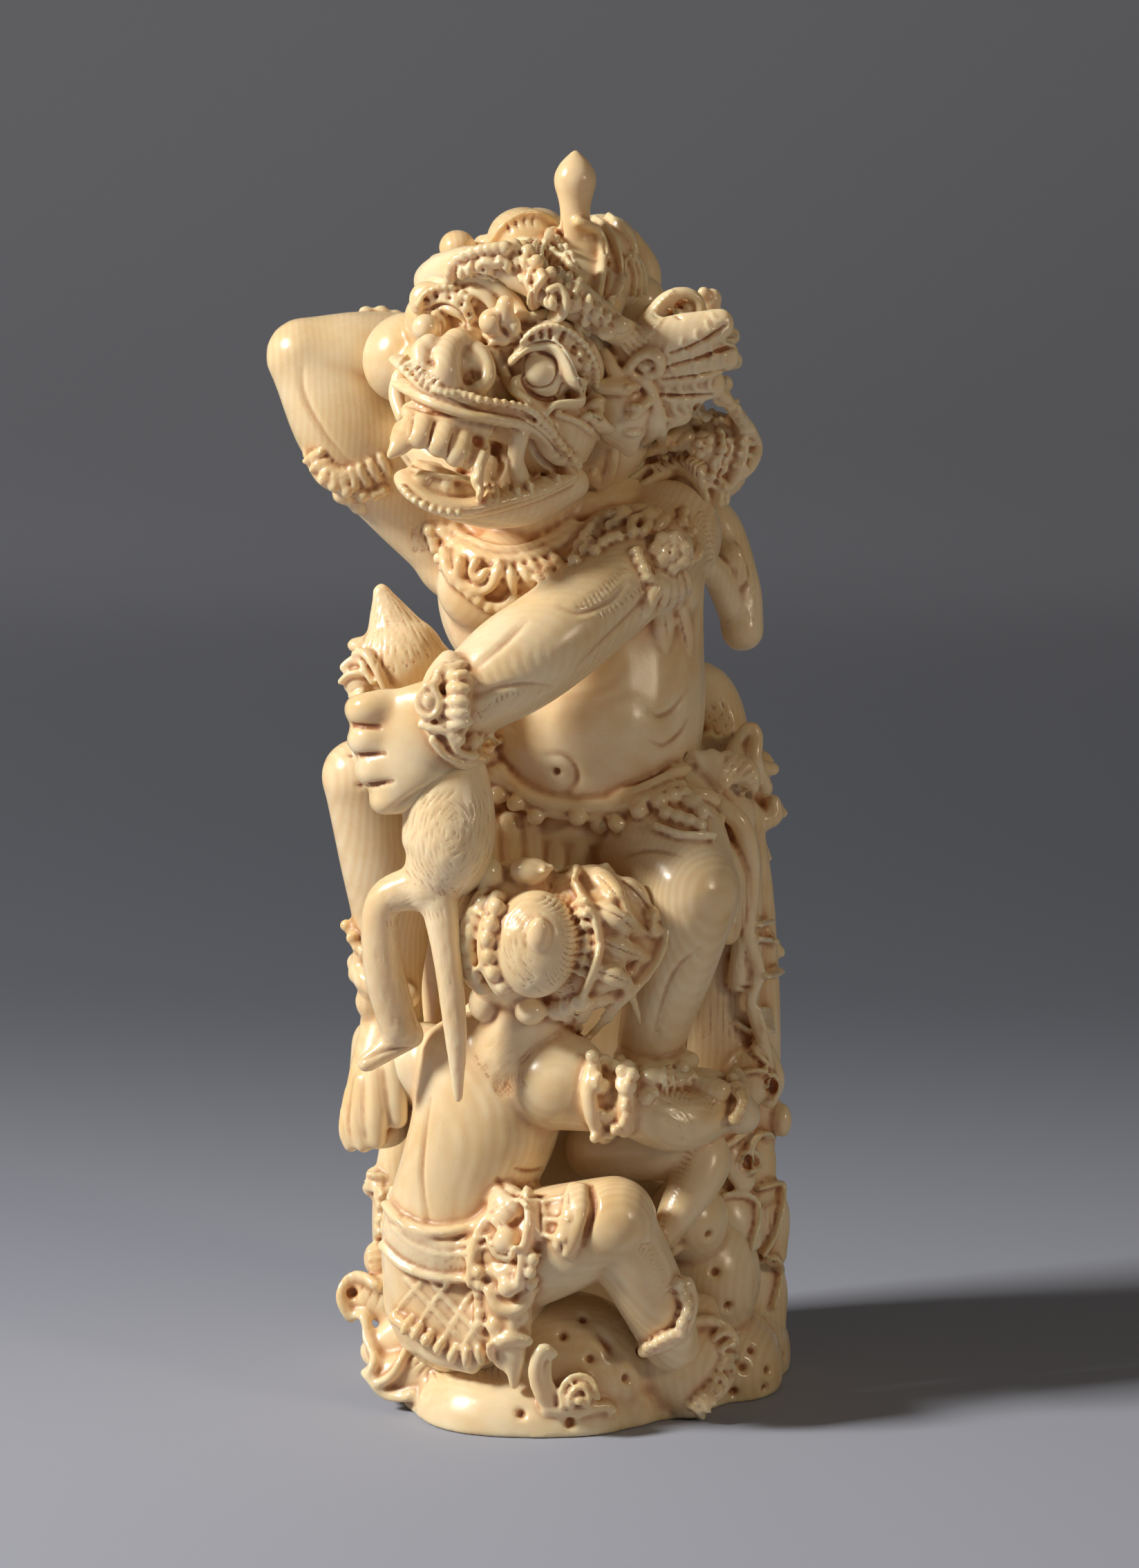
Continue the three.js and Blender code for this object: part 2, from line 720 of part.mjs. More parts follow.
function rocks() {
  const c = TUSK_CENTRE_X;
  return [
    ball([c, 2, 0], [TUSK_RADIUS - 4, TUSK_RADIUS - 3, 14], { around: 16, down: 8 }),
    limb(
      [
        [-18, -14, 0, 6, 7],
        [-12, -21, 0, 8, 8],
        [0, -22, 0, 8, 9],
        [7, -20, 0, 6, 7],
      ],
      { wide: DEPTH, sides: 10, steps: 3 },
    ),
    ball([0, -18, 6], [12, 10, 12], { around: 10, down: 7 }),
    ball([22.5, -4, 3], [9, 10, 9], { around: 9, down: 6 }),
    ball([25, 6, 2], [8, 11, 10]),
    ball([20, -6, 17], [8, 8, 10]),
    // A broad leaf with a rope-like rim beside the kneeling foot.
    leaf([14.5, -17, 15], [18, -20, 2], [0.4, -1, 0], { width: 7.5, thick: 3, sides: 7 }),
    leaf([-1.5, -27.5, 6], [-5, -28.5, 13], [0, -1, 0], { width: 2.6 }),
    curl([0.5, -29, 7.6], [0, -1, 0], { radius: 3.2, thick: 1.7 }),
  ];
}

function tailsOfCloth() {
  return [
    leaf([-19, -10, 14], [-31.5, -7, 13.5], [-0.3, -1, 0.3], { width: 4.4, thick: 2.6 }),
    leaf([-18, -12, 10], [-29, -11, 7], [-0.3, -1, 0.3], { width: 5, thick: 3 }),
    leaf([-14, -15, 8], [-27.5, -15, 4], [-0.2, -1, 0.4], { width: 4.4, thick: 2.6 }),
    limb(
      [
        [-23, -1, 40, 4, 4],
        [-25.5, -2.5, 27, 3.6, 4],
        [-25, -3, 12, 3.6, 4],
      ],
      { sides: 7 },
    ),
    ...beadRow(
      [
        [-27.5, -4, 34],
        [-28.2, -5, 25],
        [-27.8, -5, 15],
      ],
      6,
      [2, 1.8, 1.9],
    ),
  ];
}

// The right flank: a long pleated train of cloth and rows of curled leaves.

function flank() {
  const folds = [
    [24, -3, 3.4],
    [20, -6, 3.2],
    [27, 2, 3.2],
  ].map(([x, y, r]) =>
    limb([
      [x - 2, y - 1, 85, r, r],
      [x, y, 70, r, r],
      [x + 0.5, y, 46, r + 0.6, r],
    ], { sides: 6 }),
  );
  const edges = [90, 84, 77, 70, 63, 56.5, 50, 43, 37].map((z, i) => {
    const reach = 30.5 + 1.4 * Math.sin(i * 1.9);
    return leaf([25, 5, z + 1], [reach, 4 - (i % 2) * 2, z], [0.4, -1, 0.3], { width: 3.1, thick: 2 });
  });
  const skirts = [
    { root: [21, -3, 41], tip: [25.5, -7, 31], width: 4.4 },
    { root: [24, 0, 40], tip: [28.5, -2, 28], width: 4.8 },
    { root: [21, -3, 32], tip: [26.5, -7, 22], width: 4.8 },
    { root: [27, 2, 31], tip: [31, 0, 18], width: 4.6 },
    { root: [26, 4, 20], tip: [31, 3, 6], width: 5 },
  ].map(({ root, tip, width }) => leaf(root, tip, [0.8, -1, 0.2], { width, thick: 3.4, rise: 0.6, blunt: 0.5 }));
  return [...folds, ...edges, ...skirts];
}

// The back, which the photographed view hides: a fluted cloak, hair and a monkey that clings there.

const CLOAK = [
  [1, 8, 2, 26, 18],
  [1, 7, 30, 26, 17],
  [1, 5, 60, 25, 15],
  [2, 4, 84, 20, 13],
  [2, 4, 98, 14, 9],
];

function cloak() {
  const flutes = [-20, -12, -4, 4, 12, 20].map((x) =>
    limb(
      [
        [x, 20 - 0.016 * x * x, 10, 4, 3.4],
        [x * 0.98, 22 - 0.018 * x * x, 40, 4, 3.4],
        [x * 0.9, 18 - 0.016 * x * x, 72, 3.6, 3.2],
        [x * 0.8, 12 - 0.01 * x * x, 95, 3, 2.6],
      ],
      { sides: 6, steps: 1 },
    ),
  );
  const sash = limb(
    [
      [-19, 5, 88, 3, 3],
      [-12, 14, 90, 3.4, 3],
      [2, 16.5, 90, 3.4, 3],
      [15, 13, 91, 3.4, 3],
      [20, 6, 90, 3, 3],
    ],
    { wide: UP, sides: 6, steps: 1 },
  );
  return [limb(CLOAK, { sides: 16, steps: 1 }), ...flutes, sash];
}

function clingingMonkey() {
  return [
    limb([
      [6, 14, 97, 6.6],
      [7, 15.5, 108, 8],
      [5, 15, 120, 7],
      [1, 14, 130, 5.4],
    ], { sides: 9 }),
    ball([0, 12.5, 139], [7.5, 7.5, 7], { around: 10, down: 7 }),
    ball([-1, 18.5, 137.5], [3.6, 3.6, 3], { around: 7, down: 5 }),
    ...bothSides((side) => bead([side * 7.2, 14, 141], [2, 1.6, 2.6])),
    limb([
      [11, 14, 122, 4.4],
      [20, 11, 126, 3.8],
      [24.5, 10, 117, 3.2],
      [25.2, 9, 110, 3.4],
    ], { sides: 7 }),
    limb([
      [24, 9, 112, 2.4],
      [21.5, 5, 118, 2.4],
      [19, 1, 121, 2.4],
    ], { sides: 6, steps: 1 }),
    limb([
      [-1, 16, 126, 4.2],
      [-9, 14, 128, 3.6],
      [-14, 9, 126, 3.2],
    ], { sides: 7 }),
    limb([
      [10, 13, 97, 5],
      [19, 10, 101, 4.4],
      [22.5, 7, 94, 3.6],
      [18, 2, 92, 2.8],
    ], { sides: 7 }),
    limb([
      [2, 15, 97, 5],
      [-7, 16, 100, 4.2],
      [-10, 14, 91, 3.2],
      [-13, 12, 88, 2.6],
    ], { sides: 7 }),
    limb([
      [7, 17, 96, 2.8],
      [10, 19.5, 86, 2.2],
      [6, 22, 74, 2],
      [9, 22.5, 63, 1.6],
    ], { sides: 6 }),
  ];
}

function shoulderCrest() {
  return [
    ball([21, 1, 136], [5.5, 4.5, 7.5], { around: 9, down: 7 }),
    leaf([17, 3, 132], [26.5, 3, 138], [0.2, -1, 0], { width: 5, thick: 3 }),
    leaf([16, 0, 128], [22, 0, 130.5], [0.2, -1, 0.4], { width: 4.5, thick: 3 }),
    curl([20, -3, 136.5], [0, -1, 0], { radius: 3, thick: 1.4 }),
    ball([15, 3, 130], [6, 5, 6]),
  ];
}

/** Locks of hair that fall from under the crown. */
function hair() {
  return [-9, -3, 3, 9].map((x) =>
    limb(
      [
        [x * 1.1, 4 - 0.02 * x * x, 158, 4, 4],
        [x * 1.15, 8 - 0.03 * x * x, 148, 4, 4],
        [x * 1.05 + 1, 10 - 0.03 * x * x, 136, 3.4, 4],
        [x + 2, 9 - 0.03 * x * x, 126, 2, 3],
      ],
      { sides: 6, steps: 1 },
    ),
  );
}

/** The raised hand, which takes hold of the clinging monkey's nape. */
function giantRightHand() {
  const fingers = [145, 148.5, 152, 155].map((z) =>
    limb([
      [-9, 13.5, z + 0.5, 2],
      [-5, 17, z - 0.5, 2],
      [0, 18, z - 2, 1.7],
    ], { wide: UP, sides: 6, steps: 1 }),
  );
  return [
    limb([
      [-15, 9, 150, 5, 4],
      [-9, 12.5, 150, 6.4, 3.4],
    ], { wide: UP, sides: 8 }),
    ...fingers,
    ball([-2, 11, 149], [7, 7, 7]),
  ];
}

// Joining all of it into one solid, cut flat underneath.

function solidOf(geometry) {
  const bare = geometry.clone();
  bare.deleteAttribute("normal");
  bare.deleteAttribute("uv");
  const merged = mergeVertices(bare, 1e-4);
  return new wasm.Manifold(
    new wasm.Mesh({
      numProp: 3,
      vertProperties: new Float32Array(merged.attributes.position.array),
      triVerts: new Uint32Array(merged.index.array),
    }),
  );
}

const joined = (forms) => wasm.Manifold.union(forms.map(solidOf));

/** The skin of a solid as a geometry. */
function geometryOf(solid) {
  const mesh = solid.getMesh();
  return new THREE.BufferGeometry()
    .setAttribute("position", new THREE.BufferAttribute(new Float32Array(mesh.vertProperties), 3))
    .setIndex(new THREE.BufferAttribute(new Uint32Array(mesh.triVerts), 1));
}

const below = new THREE.BoxGeometry(200, 200, 100).translate(0, 0, -50);

const mouth = placed([ball([1.5, -18, -12], [6.5, 5.5, 2.2])], HEAD);

const carved = joined([
  ...giantTrunk(),
  ...giantLeftArm(),
  ...giantLeftHand(),
  ...giantRightArm(),
  ...giantRightLeg(),
  ...giantLeftLeg(),
  ...giantHead(),
  ...giantJewels(),
  ...giantWaist(),
  ...grippedMonkey(),
  ...princeHead(),
  ...princeBody(),
  ...princeJewels(),
  ...rocks(),
  ...tailsOfCloth(),
  ...flank(),
  ...cloak(),
  ...clingingMonkey(),
  ...shoulderCrest(),
  ...hair(),
  ...giantRightHand(),
])
  .subtract(joined(mouth))
  .asOriginal()
  .simplify(0.05);

/** The largest closed skin of a solid, which leaves out hollows that the union closed over. */
const outerSkin = (solid) => solid.decompose().reduce((a, b) => (a.volume() > b.volume() ? a : b));

/** A solid with fewer faces, kept where the form turns most. */
async function coarsened(solid, faces) {
  const geometry = geometryOf(solid);
  const points = geometry.attributes.position.count;
  return solidOf(await new SimplifyModifier().modify(geometry, points - faces / 2));
}

/** The geometry with points that two skins share drawn slightly apart, so that no join is without thickness. */
function unpinched(geometry) {
  const at = geometry.attributes.position;
  const points = Array.from({ length: at.count }, (_, i) => new THREE.Vector3().fromBufferAttribute(at, i));
  const near = points.map(() => new THREE.Vector3());
  const count = points.map(() => 0);
  const order = geometry.index.array;
  order.forEach((point, corner) => {
    const next = order[corner % 3 === 2 ? corner - 2 : corner + 1];
    near[point].add(points[next]);
    count[point] += 1;
  });
  const places = Map.groupBy(points.keys(), (i) => points[i].toArray().map((v) => v.toFixed(3)).join());
  for (const sharers of places.values()) {
    if (sharers.length < 2) continue;
    for (const i of sharers) {
      const moved = points[i].clone().lerp(near[i].divideScalar(count[i]), PINCH_GAP);
      at.setXYZ(i, moved.x, moved.y, points[i].z === 0 ? 0 : moved.z);
    }
  }
  return geometry;
}

const coarse = await coarsened(outerSkin(carved), FACES);
const carving = outerSkin(coarse.subtract(solidOf(below)).simplify(0.02));

const ivory = new THREE.MeshStandardMaterial({ color: "#e6cfa6", roughness: 0.38, metalness: 0 });
const figure = new THREE.Mesh(unpinched(geometryOf(carving)), ivory);
figure.name = "carving";

const group = new THREE.Group();
group.add(figure);

export default group;
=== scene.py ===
import math

import bpy
import numpy as np
from mathutils import Matrix, Vector
from mathutils.bvhtree import BVHTree
from mathutils.kdtree import KDTree


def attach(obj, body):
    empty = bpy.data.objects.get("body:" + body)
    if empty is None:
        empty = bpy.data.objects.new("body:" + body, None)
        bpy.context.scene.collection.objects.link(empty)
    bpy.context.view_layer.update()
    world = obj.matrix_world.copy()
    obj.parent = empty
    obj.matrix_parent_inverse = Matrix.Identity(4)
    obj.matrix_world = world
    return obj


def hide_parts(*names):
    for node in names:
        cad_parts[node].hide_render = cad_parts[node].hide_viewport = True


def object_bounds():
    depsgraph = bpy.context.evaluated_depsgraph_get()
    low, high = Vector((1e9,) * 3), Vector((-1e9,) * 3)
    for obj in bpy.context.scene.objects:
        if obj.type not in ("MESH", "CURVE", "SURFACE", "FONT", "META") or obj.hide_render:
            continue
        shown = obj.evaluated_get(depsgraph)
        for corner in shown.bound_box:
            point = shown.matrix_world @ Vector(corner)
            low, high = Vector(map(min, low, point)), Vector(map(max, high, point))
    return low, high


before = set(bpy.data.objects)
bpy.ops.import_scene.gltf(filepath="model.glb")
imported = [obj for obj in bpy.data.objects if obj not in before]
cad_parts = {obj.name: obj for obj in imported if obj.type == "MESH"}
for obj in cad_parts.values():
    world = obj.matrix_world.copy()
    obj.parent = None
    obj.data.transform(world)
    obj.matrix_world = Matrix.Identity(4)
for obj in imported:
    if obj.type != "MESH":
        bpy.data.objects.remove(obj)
cad_box = [list(corner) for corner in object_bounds()]
bpy.ops.object.select_all(action="DESELECT")


# The giant's body: trunk, arms and legs, carved smooth and polished. It is cut from the same
# length of ivory as everything else, so each section only takes up where the last one leaves off.
# Sizes are in millimetres, as the carver measures them, and MM turns them into the scene's metres.
MM = 0.001
ACROSS = (1, 0, 0)
DEPTH = (0, 1, 0)
UP = (0, 0, 1)


def smooth_line(points, count):
    """So many places evenly along a smooth line through points, whatever each point holds."""
    rows = np.array(points, float)
    padded = np.vstack([2 * rows[0] - rows[1], rows, 2 * rows[-1] - rows[-2]])
    place = np.linspace(0, len(rows) - 1, count)
    i = np.minimum(place.astype(int), len(rows) - 2)
    t = (place - i)[:, None]
    a, b, c, d = (padded[i + k] for k in range(4))
    return b + t * (c - a) / 2 + t**2 * (a - 2.5 * b + 2 * c - d / 2) + t**3 * (1.5 * (b - c) + (d - a) / 2)


def unit(rows):
    """Each row at length one."""
    return rows / np.maximum(np.linalg.norm(rows, axis=-1, keepdims=True), 1e-9)


def skin(rings):
    """A closed skin over rings of points, each ring the same length, capped by its own centre."""
    count, sides = len(rings), len(rings[0])
    points = np.vstack([rings[0].mean(0), np.concatenate(rings), rings[-1].mean(0)])
    ring, side = np.meshgrid(np.arange(count - 1), np.arange(sides), indexing="ij")
    a = (1 + ring * sides + side).ravel()
    b = (1 + ring * sides + (side + 1) % sides).ravel()
    first = 1 + np.arange(sides)
    last = 1 + (count - 1) * sides + np.arange(sides)
    faces = [
        np.column_stack([a, b, a + sides]),
        np.column_stack([b, b + sides, a + sides]),
        np.column_stack([np.zeros(sides, int), np.roll(first, -1), first]),
        np.column_stack([np.full(sides, len(points) - 1), last, np.roll(last, -1)]),
    ]
    return points, np.vstack(faces)


def sweep(line, width, height, across):
    """A roll along a line with oval sections, and rounded ends."""
    along = unit(np.gradient(line, axis=0))
    across = unit(across - along * (across * along).sum(1, keepdims=True))
    through = np.cross(along, across)
    turn = np.linspace(0, 2 * np.pi, 21)[:-1] if width.max() > 1.5 else np.linspace(0, 2 * np.pi, 11)[:-1]
    ends = [0.95, 0.75, 0.4]
    rings = []
    for k in [
        *[(0, -s) for s in ends], *[(i, 0) for i in range(len(line))], *[(-1, s) for s in ends[::-1]],
    ]:
        i, out = k
        size = math.sqrt(1 - out * out)
        centre = line[i] + along[i] * out * min(width[i], height[i])
        rings.append(
            centre
            + size * width[i] * np.outer(np.cos(turn), across[i])
            + size * height[i] * np.outer(np.sin(turn), through[i])
        )
    return skin(rings)


def limb(stations, wide=ACROSS, steps=8):
    """A rounded limb through stations x, y, z, half width, half thickness (the same if left out)."""
    rows = [list(s) if len(s) == 5 else [*s, s[3]] for s in stations]
    line = smooth_line(rows, (len(rows) - 1) * steps + 1)
    return sweep(line[:, :3], line[:, 3], line[:, 4], np.array(wide, float))


bpy.ops.mesh.primitive_uv_sphere_add(segments=24, ring_count=14, radius=1)
blank = bpy.context.object
blank.data.calc_loop_triangles()
BALL_POINTS = np.array([v.co for v in blank.data.vertices])
BALL_FACES = np.array([t.vertices for t in blank.data.loop_triangles])
bpy.data.objects.remove(blank)


def ball(centre, size):
    """An egg with half sizes x, y, z."""
    return BALL_POINTS * np.array(size) + np.array(centre), BALL_FACES


def leaf(root, tip, facing, width, thick=None, rise=None, blunt=0.25):
    """A pointed leaf from root to tip, standing out towards facing by its rise."""
    thick = width * 0.5 if thick is None else thick
    rise = width * 0.3 if rise is None else rise
    a, b = np.array(root, float), np.array(tip, float)
    out = unit(np.array(facing, float))
    middle = (a + b) / 2 + out * rise
    stations = [
        [*a, width * 0.55, thick],
        [*middle, width, thick],
        [*b, width * blunt, thick * blunt],
    ]
    return limb(stations, wide=np.cross(b - a, out))


def curl(centre, facing, radius, thick, turns=1.1, start=0.0, hand=1):
    """A scroll wound in the plane that faces the direction facing, thinning towards its eye."""
    out = unit(np.array(facing, float))
    guide = DEPTH if abs(out[2]) > 0.9 else UP
    side = unit(np.cross(guide, out))
    top = np.cross(out, side)
    t = np.linspace(0, 1, int(14 * turns) + 4)[:, None]
    turn = start + hand * t * turns * 2 * np.pi
    reach = radius * (1 - 0.82 * t)
    line = np.array(centre) + reach * (np.cos(turn) * side + np.sin(turn) * top) + out * thick * 0.8 * t
    size = thick * (1 - 0.3 * t[:, 0])
    return sweep(line, size, size, np.broadcast_to(out, line.shape))


def merged(forms):
    """All the forms' points and faces in one list each."""
    points = [f[0] for f in forms]
    starts = np.cumsum([0, *[len(p) for p in points[:-1]]])
    return np.vstack(points), np.vstack([f[1] + s for f, s in zip(forms, starts)])


def applied(piece, kind, **settings):
    """The piece with one modifier added, set and applied."""
    bpy.context.view_layer.objects.active = piece
    modifier = piece.modifiers.new(kind, kind)
    for name, value in settings.items():
        setattr(modifier, name, value)
    bpy.ops.object.modifier_apply(modifier=modifier.name)
    return piece


def blocked_out(name, forms):
    """The forms as one object, before they are made one skin."""
    points, faces = merged(forms)
    mesh = bpy.data.meshes.new(name)
    mesh.from_pydata((points * MM).tolist(), [], faces.tolist())
    piece = bpy.data.objects.new(name, mesh)
    bpy.context.scene.collection.objects.link(piece)
    return piece


def points_of(piece):
    """The piece's points, in millimetres."""
    flat = np.empty(len(piece.data.vertices) * 3, np.float32)
    piece.data.vertices.foreach_get("co", flat)
    return flat.reshape(-1, 3).astype(float) / MM


def move_points(piece, points):
    """The piece's points put at new places, in millimetres."""
    piece.data.vertices.foreach_set("co", (points * MM).astype(np.float32).ravel())
    piece.data.update()


def normals_of(piece):
    """The piece's outward directions, a row for each point."""
    flat = np.empty(len(piece.data.vertices) * 3, np.float32)
    piece.data.vertex_normals.foreach_get("vector", flat)
    return flat.reshape(-1, 3).astype(float)


def sawn_flat(piece):
    """The piece with all that would be below the underside brought up to it."""
    points = points_of(piece)
    points[:, 2] = np.maximum(points[:, 2], 0)
    move_points(piece, points)
    return piece


def fused(name, forms, grain, rounds):
    """One closed skin over the forms, on a grid of so many millimetres, with its hollows softened."""
    piece = blocked_out(name, forms)
    applied(piece, "REMESH", mode="VOXEL", voxel_size=grain * MM)
    if rounds:
        applied(piece, "SMOOTH", factor=0.5, iterations=rounds)
    return piece


# The eye for which the front is drawn: ornament is drawn on the front view, and falls on the form
# along the lines of sight.
EYE_DISTANCE = 650
EYE_RISE = math.radians(9)
LOOK_AT = np.array([0, 0, 88.7])
SIGHT_BACK = np.array([0, -math.cos(EYE_RISE), math.sin(EYE_RISE)])
SIGHT_UP = np.array([0, math.sin(EYE_RISE), math.cos(EYE_RISE)])
EYE = LOOK_AT + EYE_DISTANCE * SIGHT_BACK


def seen(drawn, y, *sizes):
    """The place at depth y that the front view shows at x and z, with a station's sizes after it."""
    sight = LOOK_AT + np.array([drawn[0], 0, 0]) + (drawn[1] - LOOK_AT[2]) * SIGHT_UP - EYE
    return [*(EYE + sight * (y - EYE[1]) / sight[1]), *sizes]


def drawn_limb(stations, wide=ACROSS):
    """A limb through stations as the front view shows them: x, z, then the depth y and the sizes."""
    return limb([seen(s[:2], *s[2:]) for s in stations], wide)


class Front:
    """The front view of a piece: x to the right and z up, in millimetres, each spot found on its surface."""

    def __init__(self, piece):
        bpy.context.view_layer.update()
        self.tree = BVHTree.FromObject(piece, bpy.context.evaluated_depsgraph_get())

    def spot(self, x, z):
        """The place on the surface that the drawing's x and z show, and the way it faces."""
        drawn = LOOK_AT + np.array([x, 0, 0]) + (z - LOOK_AT[2]) * SIGHT_UP
        sight = unit(drawn - EYE)
        hit, normal, _, _ = self.tree.ray_cast(Vector(EYE * MM), Vector(sight))
        if hit is None:
            reach = (-12 - EYE[1]) / sight[1]
            hit, normal, _, _ = self.tree.find_nearest(Vector((EYE + sight * reach) * MM))
        return np.array(hit) / MM, np.array(normal)

    def line(self, path, step=0.5):
        """The drawn path as places and directions on the surface, a step apart."""
        drawn = np.array(path, float)
        length = np.linalg.norm(np.diff(drawn, axis=0), axis=1).sum()
        spots = [self.spot(x, z) for x, z in smooth_line(drawn, max(3, int(length / step)))]
        places = np.array([s[0] for s in spots])
        facing = unit(np.array([s[1] for s in spots]))
        for _ in range(2):
            places[1:-1] = (places[:-2] + 2 * places[1:-1] + places[2:]) / 4
            facing[1:-1] = (facing[:-2] + 2 * facing[1:-1] + facing[2:]) / 4
        return places, unit(facing)

    def roll(self, path, width, height=None, lift=0.2, taper=1.0):
        """A rounded roll that lies on the surface along a drawn path."""
        height = width if height is None else height
        places, facing = self.line(path)
        along = unit(np.gradient(places, axis=0))
        t = np.linspace(-1, 1, len(places))
        size = 1 - (1 - taper) * np.abs(t) ** 3
        line = places + facing * (height * size * lift)[:, None]
        return sweep(line, width * size, height * size, np.cross(facing, along))

    def stud(self, x, z, size, lift=0.3):
        """A bead half sunk in the surface."""
        place, facing = self.spot(x, z)
        radii = size if np.ndim(size) else (size, size, size)
        return ball(place + facing * min(radii) * lift, radii)

    def beads(self, path, count, size, lift=0.3):
        """Beads evenly along a drawn path."""
        return [self.stud(x, z, size, lift) for x, z in smooth_line(path, count)]

    def scroll(self, x, z, radius, thick, turns=1.3, start=0.0, hand=1):
        """A scroll that lies on the surface, with a bead for its eye."""
        t = np.linspace(0, 1, int(9 * turns) + 3)
        turn = start + hand * t * turns * 2 * np.pi
        reach = radius * (1 - 0.8 * t)
        path = np.column_stack([x + reach * np.cos(turn), z + reach * np.sin(turn)])
        return [self.roll(path, thick, thick, 0.4), self.stud(x, z, thick * 1.1, 0.9)]

    def rosette(self, x, z, radius, petals=6, start=0.3):
        """A small flower: a bead with petals round it."""
        turns = [start + 2 * math.pi * k / petals for k in range(petals)]
        ring = [
            self.stud(x + radius * 0.66 * math.cos(a), z + radius * 0.66 * math.sin(a), radius * 0.4)
            for a in turns
        ]
        return [*ring, self.stud(x, z, radius * 0.34, 0.9)]

    def frond(self, root, tip, width, height=None, bow=0.0, lift=0.3):
        """A pointed leaf that lies on the surface from root to tip, bowed to one side."""
        a, b = np.array(root, float), np.array(tip, float)
        sideways = np.array([-(b - a)[1], (b - a)[0]]) * bow
        height = width * 0.6 if height is None else height
        places, facing = self.line([a, (a + b) / 2 + sideways, b])
        along = unit(np.gradient(places, axis=0))
        t = np.linspace(0, 1, len(places))
        size = np.maximum(0.18, np.sin(np.pi * np.clip(t * 0.86 + 0.12, 0, 1)) ** 0.8)
        line = places + facing * (height * size * lift)[:, None]
        return sweep(line, width * size, height * size, np.cross(facing, along))

    def bars(self, path, count, reach, thick, lean=0.0, lift=0.4, sides=(-1, 1), taper=0.8):
        """Short rolls set across a drawn path, as on a pleat, a fern or a ribbed rim."""
        return [
            self.roll(tick, thick, thick, lift, taper)
            for tick in ticks(path, count, reach, lean, sides)
        ]


def ticks(path, count, reach, lean=0.0, sides=(-1, 1)):
    """Short drawn strokes across a path, leaning along it, so many from end to end."""
    spine = smooth_line(path, count)
    along = unit(np.gradient(spine, axis=0))
    across = np.column_stack([-along[:, 1], along[:, 0]])
    ends = (sides[0], (sides[0] + sides[1]) / 2, sides[1])
    return [
        [p + s * reach * n + abs(s) * lean * reach * a for s in ends]
        for p, a, n in zip(spine, along, across)
    ]


def strands(path, reach, length, gap, seed=1, fan=0.0):
    """Short drawn strokes along a path, staggered over its breadth like hair, and fanned out if asked."""
    dice = np.random.default_rng(seed)
    spine = smooth_line(path, 60)
    travelled = np.concatenate([[0], np.cumsum(np.linalg.norm(np.diff(spine, axis=0), axis=1))])
    along = unit(np.gradient(spine, axis=0))
    made = []
    for k, s in enumerate(np.arange(-reach, reach + 1e-6, gap)):
        start = dice.uniform(0, length)
        while start < travelled[-1]:
            stops = np.clip(start + np.array([0, 0.5, 1]) * length * 0.8, 0, travelled[-1])
            p = np.column_stack([np.interp(stops, travelled, spine[:, i]) for i in (0, 1)])
            d = np.column_stack([np.interp(stops, travelled, along[:, i]) for i in (0, 1)])
            n = np.column_stack([-d[:, 1], d[:, 0]])
            spread = 1 + fan * (stops / travelled[-1] - 0.5)
            made.append(p + n * (s * spread + dice.uniform(-0.12, 0.12))[:, None])
            start += length * dice.uniform(0.9, 1.2)
    return made


def engraved(piece, cuts):
    """Grooves cut into the surface: each cut is a list of drawn paths, their half width and their depth."""
    points, normals = points_of(piece), normals_of(piece)
    drawing = Front(piece)
    lines = [(drawing.line(path, 0.25)[0], width, deep) for paths, width, deep in cuts for path in paths]
    tree = KDTree(len(points))
    for i, point in enumerate(points):
        tree.insert(point, i)
    tree.balance()
    depth = np.zeros(len(points))
    for places, width, deep in lines:
        fade = np.sin(np.pi * (0.12 + 0.76 * np.linspace(0, 1, len(places))))
        for place, share in zip(places, fade):
            for _, i, far in tree.find_range(place, width):
                depth[i] = max(depth[i], deep * share * (1 - (far / width) ** 2) ** 2)
    move_points(piece, points - normals * depth[:, None])
    return piece


def neighbour_mean(values, edges, counts):
    """For each point, the mean of its neighbours' values."""
    total = np.column_stack([
        np.bincount(edges[:, 0], values[edges[:, 1], k], len(values))
        + np.bincount(edges[:, 1], values[edges[:, 0], k], len(values))
        for k in range(values.shape[1])
    ])
    return total / counts[:, None]


def mark_recesses(piece):
    """Notes on each point how far it lies in a hollow: fine for grooves, and broad for folds."""
    points, normals = points_of(piece), normals_of(piece)
    flat = np.empty(len(piece.data.edges) * 2, np.int32)
    piece.data.edges.foreach_get("vertices", flat)
    edges = flat.reshape(-1, 2)
    counts = np.maximum(np.bincount(edges.ravel(), minlength=len(points)), 1)
    smoothed = points
    done = 0
    for name, rounds, scale in (("fine", 5, 0.12), ("broad", 40, 0.55)):
        while done < rounds:
            smoothed = 0.5 * smoothed + 0.5 * neighbour_mean(smoothed, edges, counts)
            done += 1
        hollow = ((smoothed - points) * normals).sum(1) / scale
        layer = piece.data.attributes.new(name, "FLOAT", "POINT")
        layer.data.foreach_set("value", np.clip(hollow, -1, 1).astype(np.float32))


def linear(hex_colour):
    """The linear colour, with alpha, of an sRGB hex value."""
    channels = [int(hex_colour[i : i + 2], 16) / 255 for i in (1, 3, 5)]
    return [*[c / 12.92 if c <= 0.04045 else ((c + 0.055) / 1.055) ** 2.4 for c in channels], 1]


def node(tree, kind, links=(), **settings):
    """A node with its settings and links; a setting named after a socket sets that socket's value."""
    made = tree.nodes.new("ShaderNode" + kind)
    for name, value in settings.items():
        if name.startswith("in_"):
            key = name[3:].replace("_", " ")
            socket = made.inputs[int(key)] if key.isdigit() else made.inputs[key]
            socket.default_value = value
        else:
            setattr(made, name, value)
    for source, socket in links:
        tree.links.new(source, made.inputs[socket])
    return made


